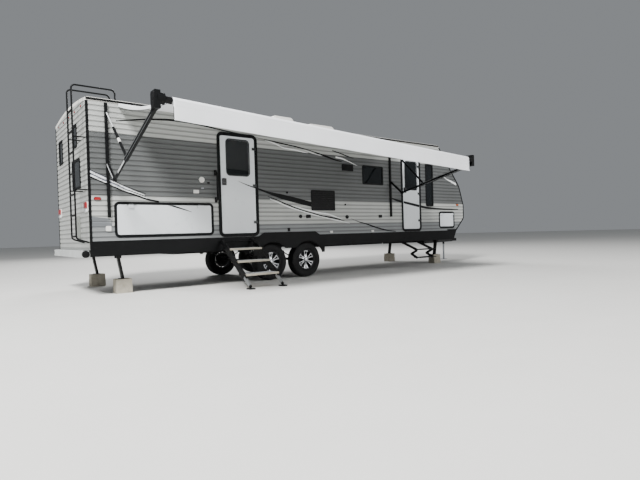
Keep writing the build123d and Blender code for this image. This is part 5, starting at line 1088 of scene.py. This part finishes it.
class CARAVAN_OT_fittings(Operator):
    """Adds the small outlets, covers, caps, rungs and handles"""

    bl_idname = "caravan.fittings"
    bl_label = "Small fittings"

    def execute(self, context):
        self.wall_covers()
        self.ladder_rungs()
        self.step_treads()
        self.bumper_caps()
        self.tow_fittings()
        return {"FINISHED"}

    def wall_covers(self):
        names = ("black_plastic", "white_plastic", "zinc")
        pile = Pile()
        face = -HALF_WIDTH - 0.001
        # X, Z, half width, half height, corner radius, thickness and finish of each cover.
        for x, z, wide, tall, radius, thick, finish in (
                (4.01, 1.257, 0.038, 0.038, 0.038, 0.016, 0), (4.21, 1.257, 0.056, 0.034, 0.008, 0.020, 0),
                (5.28, 1.244, 0.042, 0.042, 0.042, 0.018, 0), (6.32, 1.257, 0.048, 0.034, 0.008, 0.020, 0),
                (5.24, 1.516, 0.020, 0.020, 0.020, 0.012, 0), (4.82, 0.921, 0.034, 0.022, 0.006, 0.014, 1),
                (6.06, 0.914, 0.034, 0.022, 0.006, 0.014, 1), (3.71, 0.99, 0.026, 0.034, 0.006, 0.014, 0),
                (1.864, 1.911, 0.050, 0.050, 0.050, 0.018, 1), (1.756, 1.698, 0.050, 0.030, 0.006, 0.008, 1),
                (3.689, 1.738, 0.022, 0.022, 0.022, 0.020, 0), (1.994, 1.861, 0.022, 0.014, 0.004, 0.010, 0),
                (1.877, 1.762, 0.026, 0.010, 0.004, 0.006, 2)):
            pile.wrap(plate("camp", (x, face, z), wide, tall, radius, thick, 0.004, back=-0.006), finish)
        handle_low, handle_high = own("grab_handle")
        handle_x = (handle_low[0] + handle_high[0]) / 2
        for z in (handle_low[2] + 0.016, handle_high[2] - 0.016):
            pile.wrap(plate("camp", (handle_x, face, z), 0.026, 0.05, 0.012, 0.010, 0.003, back=-0.006))
        pile.build("wall_covers", BODY, names, "black_plastic", 34)

    def ladder_rungs(self):
        low, high = own("ladder")
        y0, y1 = low[1] + 0.03, high[1] - 0.03
        run = np.linspace(-(y1 - y0) / 2, (y1 - y0) / 2, 61)
        radius = 0.0145 + 0.0012 * (np.arange(61) % 2)
        profile = [(0.0, run[0])] + list(zip(radius, run)) + [(0.0, run[-1])]
        pile = Pile()
        for index in range(RUNGS):
            centre = (low[0] + 0.013, (y0 + y1) / 2, FIRST_RUNG + RUNG_PITCH * index)
            pile.wrap(turned(profile, centre, (0, 1, 0), 14))
        pile.build("ladder_rung_grips", BODY, ["black_plastic"], "black_plastic", 40)

    def step_treads(self):
        low, high = own("entry_steps")
        hinge_y, hinge_z = -HALF_WIDTH - 0.042, FLOOR_TOP - 0.076
        # From the hinge the steps run out and down to the ground by these two lengths.
        run, fall = -0.98, 0.036 - hinge_z
        pile = Pile()
        for share in TREAD_PLACES:
            y, z = hinge_y + share * run, hinge_z + share * fall + 0.010
            pile.wrap(box_grid((low[0] + 0.040, y - TREAD_HALF, z - 0.0325),
                               (high[0] - 0.040, y + TREAD_HALF, z + 0.0015), 0.004))
            for index in range(9):
                at = y - 0.10 + index * 0.025
                pile.wrap(box_grid((low[0] + 0.06, at - 0.004, z - 0.001),
                                   (high[0] - 0.06, at + 0.004, z + 0.0035), 0.0015), 1)
        for x in (low[0] + 0.050, high[0] - 0.050):
            ends = [np.array([x, hinge_y + share * run, hinge_z + share * fall]) for share in (0.80, 0.97)]
            pile.wrap(flat_strip(*ends, -0.0165, 0.0165, -0.0245, 0.0245), 1)
        pile.build("step_tread_plates", "entry_steps_frame", ("tread", "aluminium"), "alu", 34)

    def tow_fittings(self):
        """Bottle valves with their joined regulator, the jack's crank and the coupler's latch."""
        pile = Pile()
        low, high = own("gas_bottles")
        middle_x, top = (low[0] + high[0]) / 2, high[2]
        bottle_y = high[1] - 0.165
        for y in (-bottle_y, bottle_y):
            pile.wrap(sleeve((middle_x, y, top - 0.07), (middle_x, y, top + 0.004), 0.024), 1)
            pile.wrap(sleeve((middle_x, y, top - 0.03), (middle_x - 0.075, y, top - 0.03), 0.012), 2)
        swing = np.linspace(-1, 1, 25)[:, None]
        hose = np.concatenate([middle_x - 0.09 + 0 * swing, swing * bottle_y,
                               top - 0.02 + 0.016 * (1 - swing ** 2)], 1)
        pile.wrap(capped(along(hose, circle(0.008, 12))))
        regulator = (middle_x - 0.09, 0.0, top - 0.03)
        pile.wrap(plate("top", regulator, 0.045, 0.045, 0.04, 0.03, 0.006), 1)
        low, high = own("tongue_jack_tube")
        jack_x = (low[0] + high[0]) / 2
        crank = np.array([(0.0, 0.0), (0.02, 0.0), (0.05, 0.0), (0.058, 0.008), (0.06, 0.03), (0.06, 0.09),
                          (0.062, 0.112), (0.07, 0.12), (0.10, 0.12), (0.14, 0.12)])
        path = np.stack([np.full(len(crank), jack_x), -0.045 - crank[:, 0], high[2] - 0.05 - crank[:, 1]], 1)
        pile.wrap(capped(along(path, circle(0.0085, 12))), 1)
        pile.wrap(sleeve(path[-2], path[-1] + [0, -0.05, 0], 0.015))
        high = own("coupler")[1]
        pile.wrap(box_grid((high[0] - 0.24, -0.018, high[2] - 0.002),
                           (high[0] - 0.09, 0.018, high[2] + 0.028), 0.006), 1)
        pile.build("tow_fittings", BODY, ("black_plastic", "zinc", "aluminium"), "steel", 34)

    def bumper_caps(self):
        """Rounded covers over the bumper's ends."""
        cap = [(0.0, 0.0), (0.0575, 0.0), (0.0575, 0.013), (0.053, 0.0165), (0.02, 0.0165), (0.0, 0.0165)]
        pile = Pile()
        for sign in (-1, 1):
            pile.wrap(turned(cap, (-0.06, sign * 1.1475, 0.679), (0, sign, 0), 40))
        pile.build("bumper_end_caps", BODY, ["black_plastic"], "black_plastic", 34)


# The stage

FLOOR_EDGES = (-90.0, 0.0, 90.0)
# Each soft light: name, place, the point that it looks at, width, and share of the key light's power.
LIGHTS = (
    ("key_light", (-13.0, -7.5, 14.0), (-1.0, -0.5, 1.2), 5.0, 1.0),
    ("fill_light", (8.0, -16.0, 6.0), (1.0, -1.0, 1.5), 10.0, 0.15),
    ("back_light", (4.0, 15.0, 10.0), (0.0, 1.0, 1.5), 8.0, 0.3),
)
# The photograph's camera: lens in millimetres, turn as yaw, pitch and roll, and place.
CAMERA_LENS = 27.11
CAMERA_TURN = (0.905272353, -0.0136088698, -0.0297564190)
CAMERA_PLACE = np.array([-1.80735899, -9.25738832, 0.894318367])


class CARAVAN_OT_stage(Operator):
    """Sets the floor, the lights and the camera at the photograph's angle"""

    bl_idname = "caravan.stage"
    bl_label = "Stage"

    def execute(self, context):
        settings = context.scene.caravan_stage
        scene = context.scene
        x, y = np.meshgrid(FLOOR_EDGES, FLOOR_EDGES, indexing="ij")
        mesh = bpy.data.meshes.new("studio_floor")
        points = np.stack([x, y, np.full_like(x, -0.0005)], -1).reshape(-1, 3)
        mesh.from_pydata(points.tolist(), [], grid_faces(3, 3)[:, ::-1].tolist())
        # Rolled studio vinyl: pale, matt, with the faintest mottle over half a metre.
        vinyl = plain_finish("studio_vinyl", settings.floor, 0.02, 0.5, (0.75, 0.85), 0.01, 0.02)
        mesh.materials.append(vinyl)
        floor = bpy.data.objects.new("studio_floor", mesh)
        scene.collection.objects.link(floor)
        world = bpy.data.worlds.new("studio_air")
        scene.world = world
        world.use_nodes = True
        tree = world.node_tree
        tree.nodes.clear()
        glow = node(tree, "ShaderNodeBackground", {0: linear("#e8edf2"), 1: settings.sky})
        node(tree, "ShaderNodeOutputWorld", {0: glow.outputs[0]})
        for name, place, aim, size, share in LIGHTS:
            lamp = bpy.data.lights.new(name, "AREA")
            lamp.shape = "DISK"
            lamp.size = size
            lamp.energy = settings.key * share
            holder = bpy.data.objects.new(name, lamp)
            scene.collection.objects.link(holder)
            holder.location = place
            way = np.asarray(aim, float) - np.asarray(place, float)
            holder.rotation_euler = direction_matrix(way).to_euler()
        camera = bpy.data.cameras.new("view_camera")
        camera.sensor_width = 36.0
        camera.lens = CAMERA_LENS
        camera.clip_end = 300.0
        eye = bpy.data.objects.new("view_camera", camera)
        scene.collection.objects.link(eye)
        yaw, pitch, roll = CAMERA_TURN
        ahead = np.array([math.cos(yaw) * math.cos(pitch), math.sin(yaw) * math.cos(pitch), math.sin(pitch)])
        right = np.array([math.sin(yaw), -math.cos(yaw), 0.0])
        up = np.cross(right, ahead)
        level = right * math.cos(roll) + up * math.sin(roll)
        upright = -right * math.sin(roll) + up * math.cos(roll)
        turn = Matrix((level, upright, -ahead)).transposed()
        eye.matrix_world = Matrix.Translation(CAMERA_PLACE - SHIFT) @ turn.to_4x4()
        scene.camera = eye
        return {"FINISHED"}


def direction_matrix(way):
    """Turn that points a light or camera along a direction, with its own up as near upright as it can be."""
    back = -np.asarray(way) / np.linalg.norm(way)
    right = np.cross([0.0, 0, 1], back)
    right /= np.linalg.norm(right)
    up = np.cross(back, right)
    return Matrix((right, up, back)).transposed().to_4x4()


class CARAVAN_PT_panel(Panel):
    """Lists the pieces of the caravan's dressing"""

    bl_idname = "CARAVAN_PT_panel"
    bl_label = "Caravan"
    bl_space_type = "VIEW_3D"
    bl_region_type = "UI"
    bl_category = "Caravan"

    def draw(self, context):
        for operator in OPERATORS:
            self.layout.operator(operator.bl_idname)


OPERATORS = (CARAVAN_OT_finishes, CARAVAN_OT_stage, CARAVAN_OT_stripes, CARAVAN_OT_wheels, CARAVAN_OT_awning,
             CARAVAN_OT_awning_arms, CARAVAN_OT_roof, CARAVAN_OT_lamps, CARAVAN_OT_fittings)
SETTINGS = {"caravan_finish": FinishSettings, "caravan_wheels": WheelSettings,
            "caravan_awning": AwningSettings, "caravan_stage": StageSettings}


def register():
    for kind in (*SETTINGS.values(), *OPERATORS, CARAVAN_PT_panel):
        bpy.utils.register_class(kind)
    for name, kind in SETTINGS.items():
        setattr(bpy.types.Scene, name, PointerProperty(type=kind))


def unregister():
    for name in SETTINGS:
        delattr(bpy.types.Scene, name)
    for kind in reversed((*SETTINGS.values(), *OPERATORS, CARAVAN_PT_panel)):
        bpy.utils.unregister_class(kind)


def main():
    register()
    for operator in OPERATORS:
        getattr(bpy.ops.caravan, operator.bl_idname.split(".")[1])()


if __name__ == "__main__":
    main()
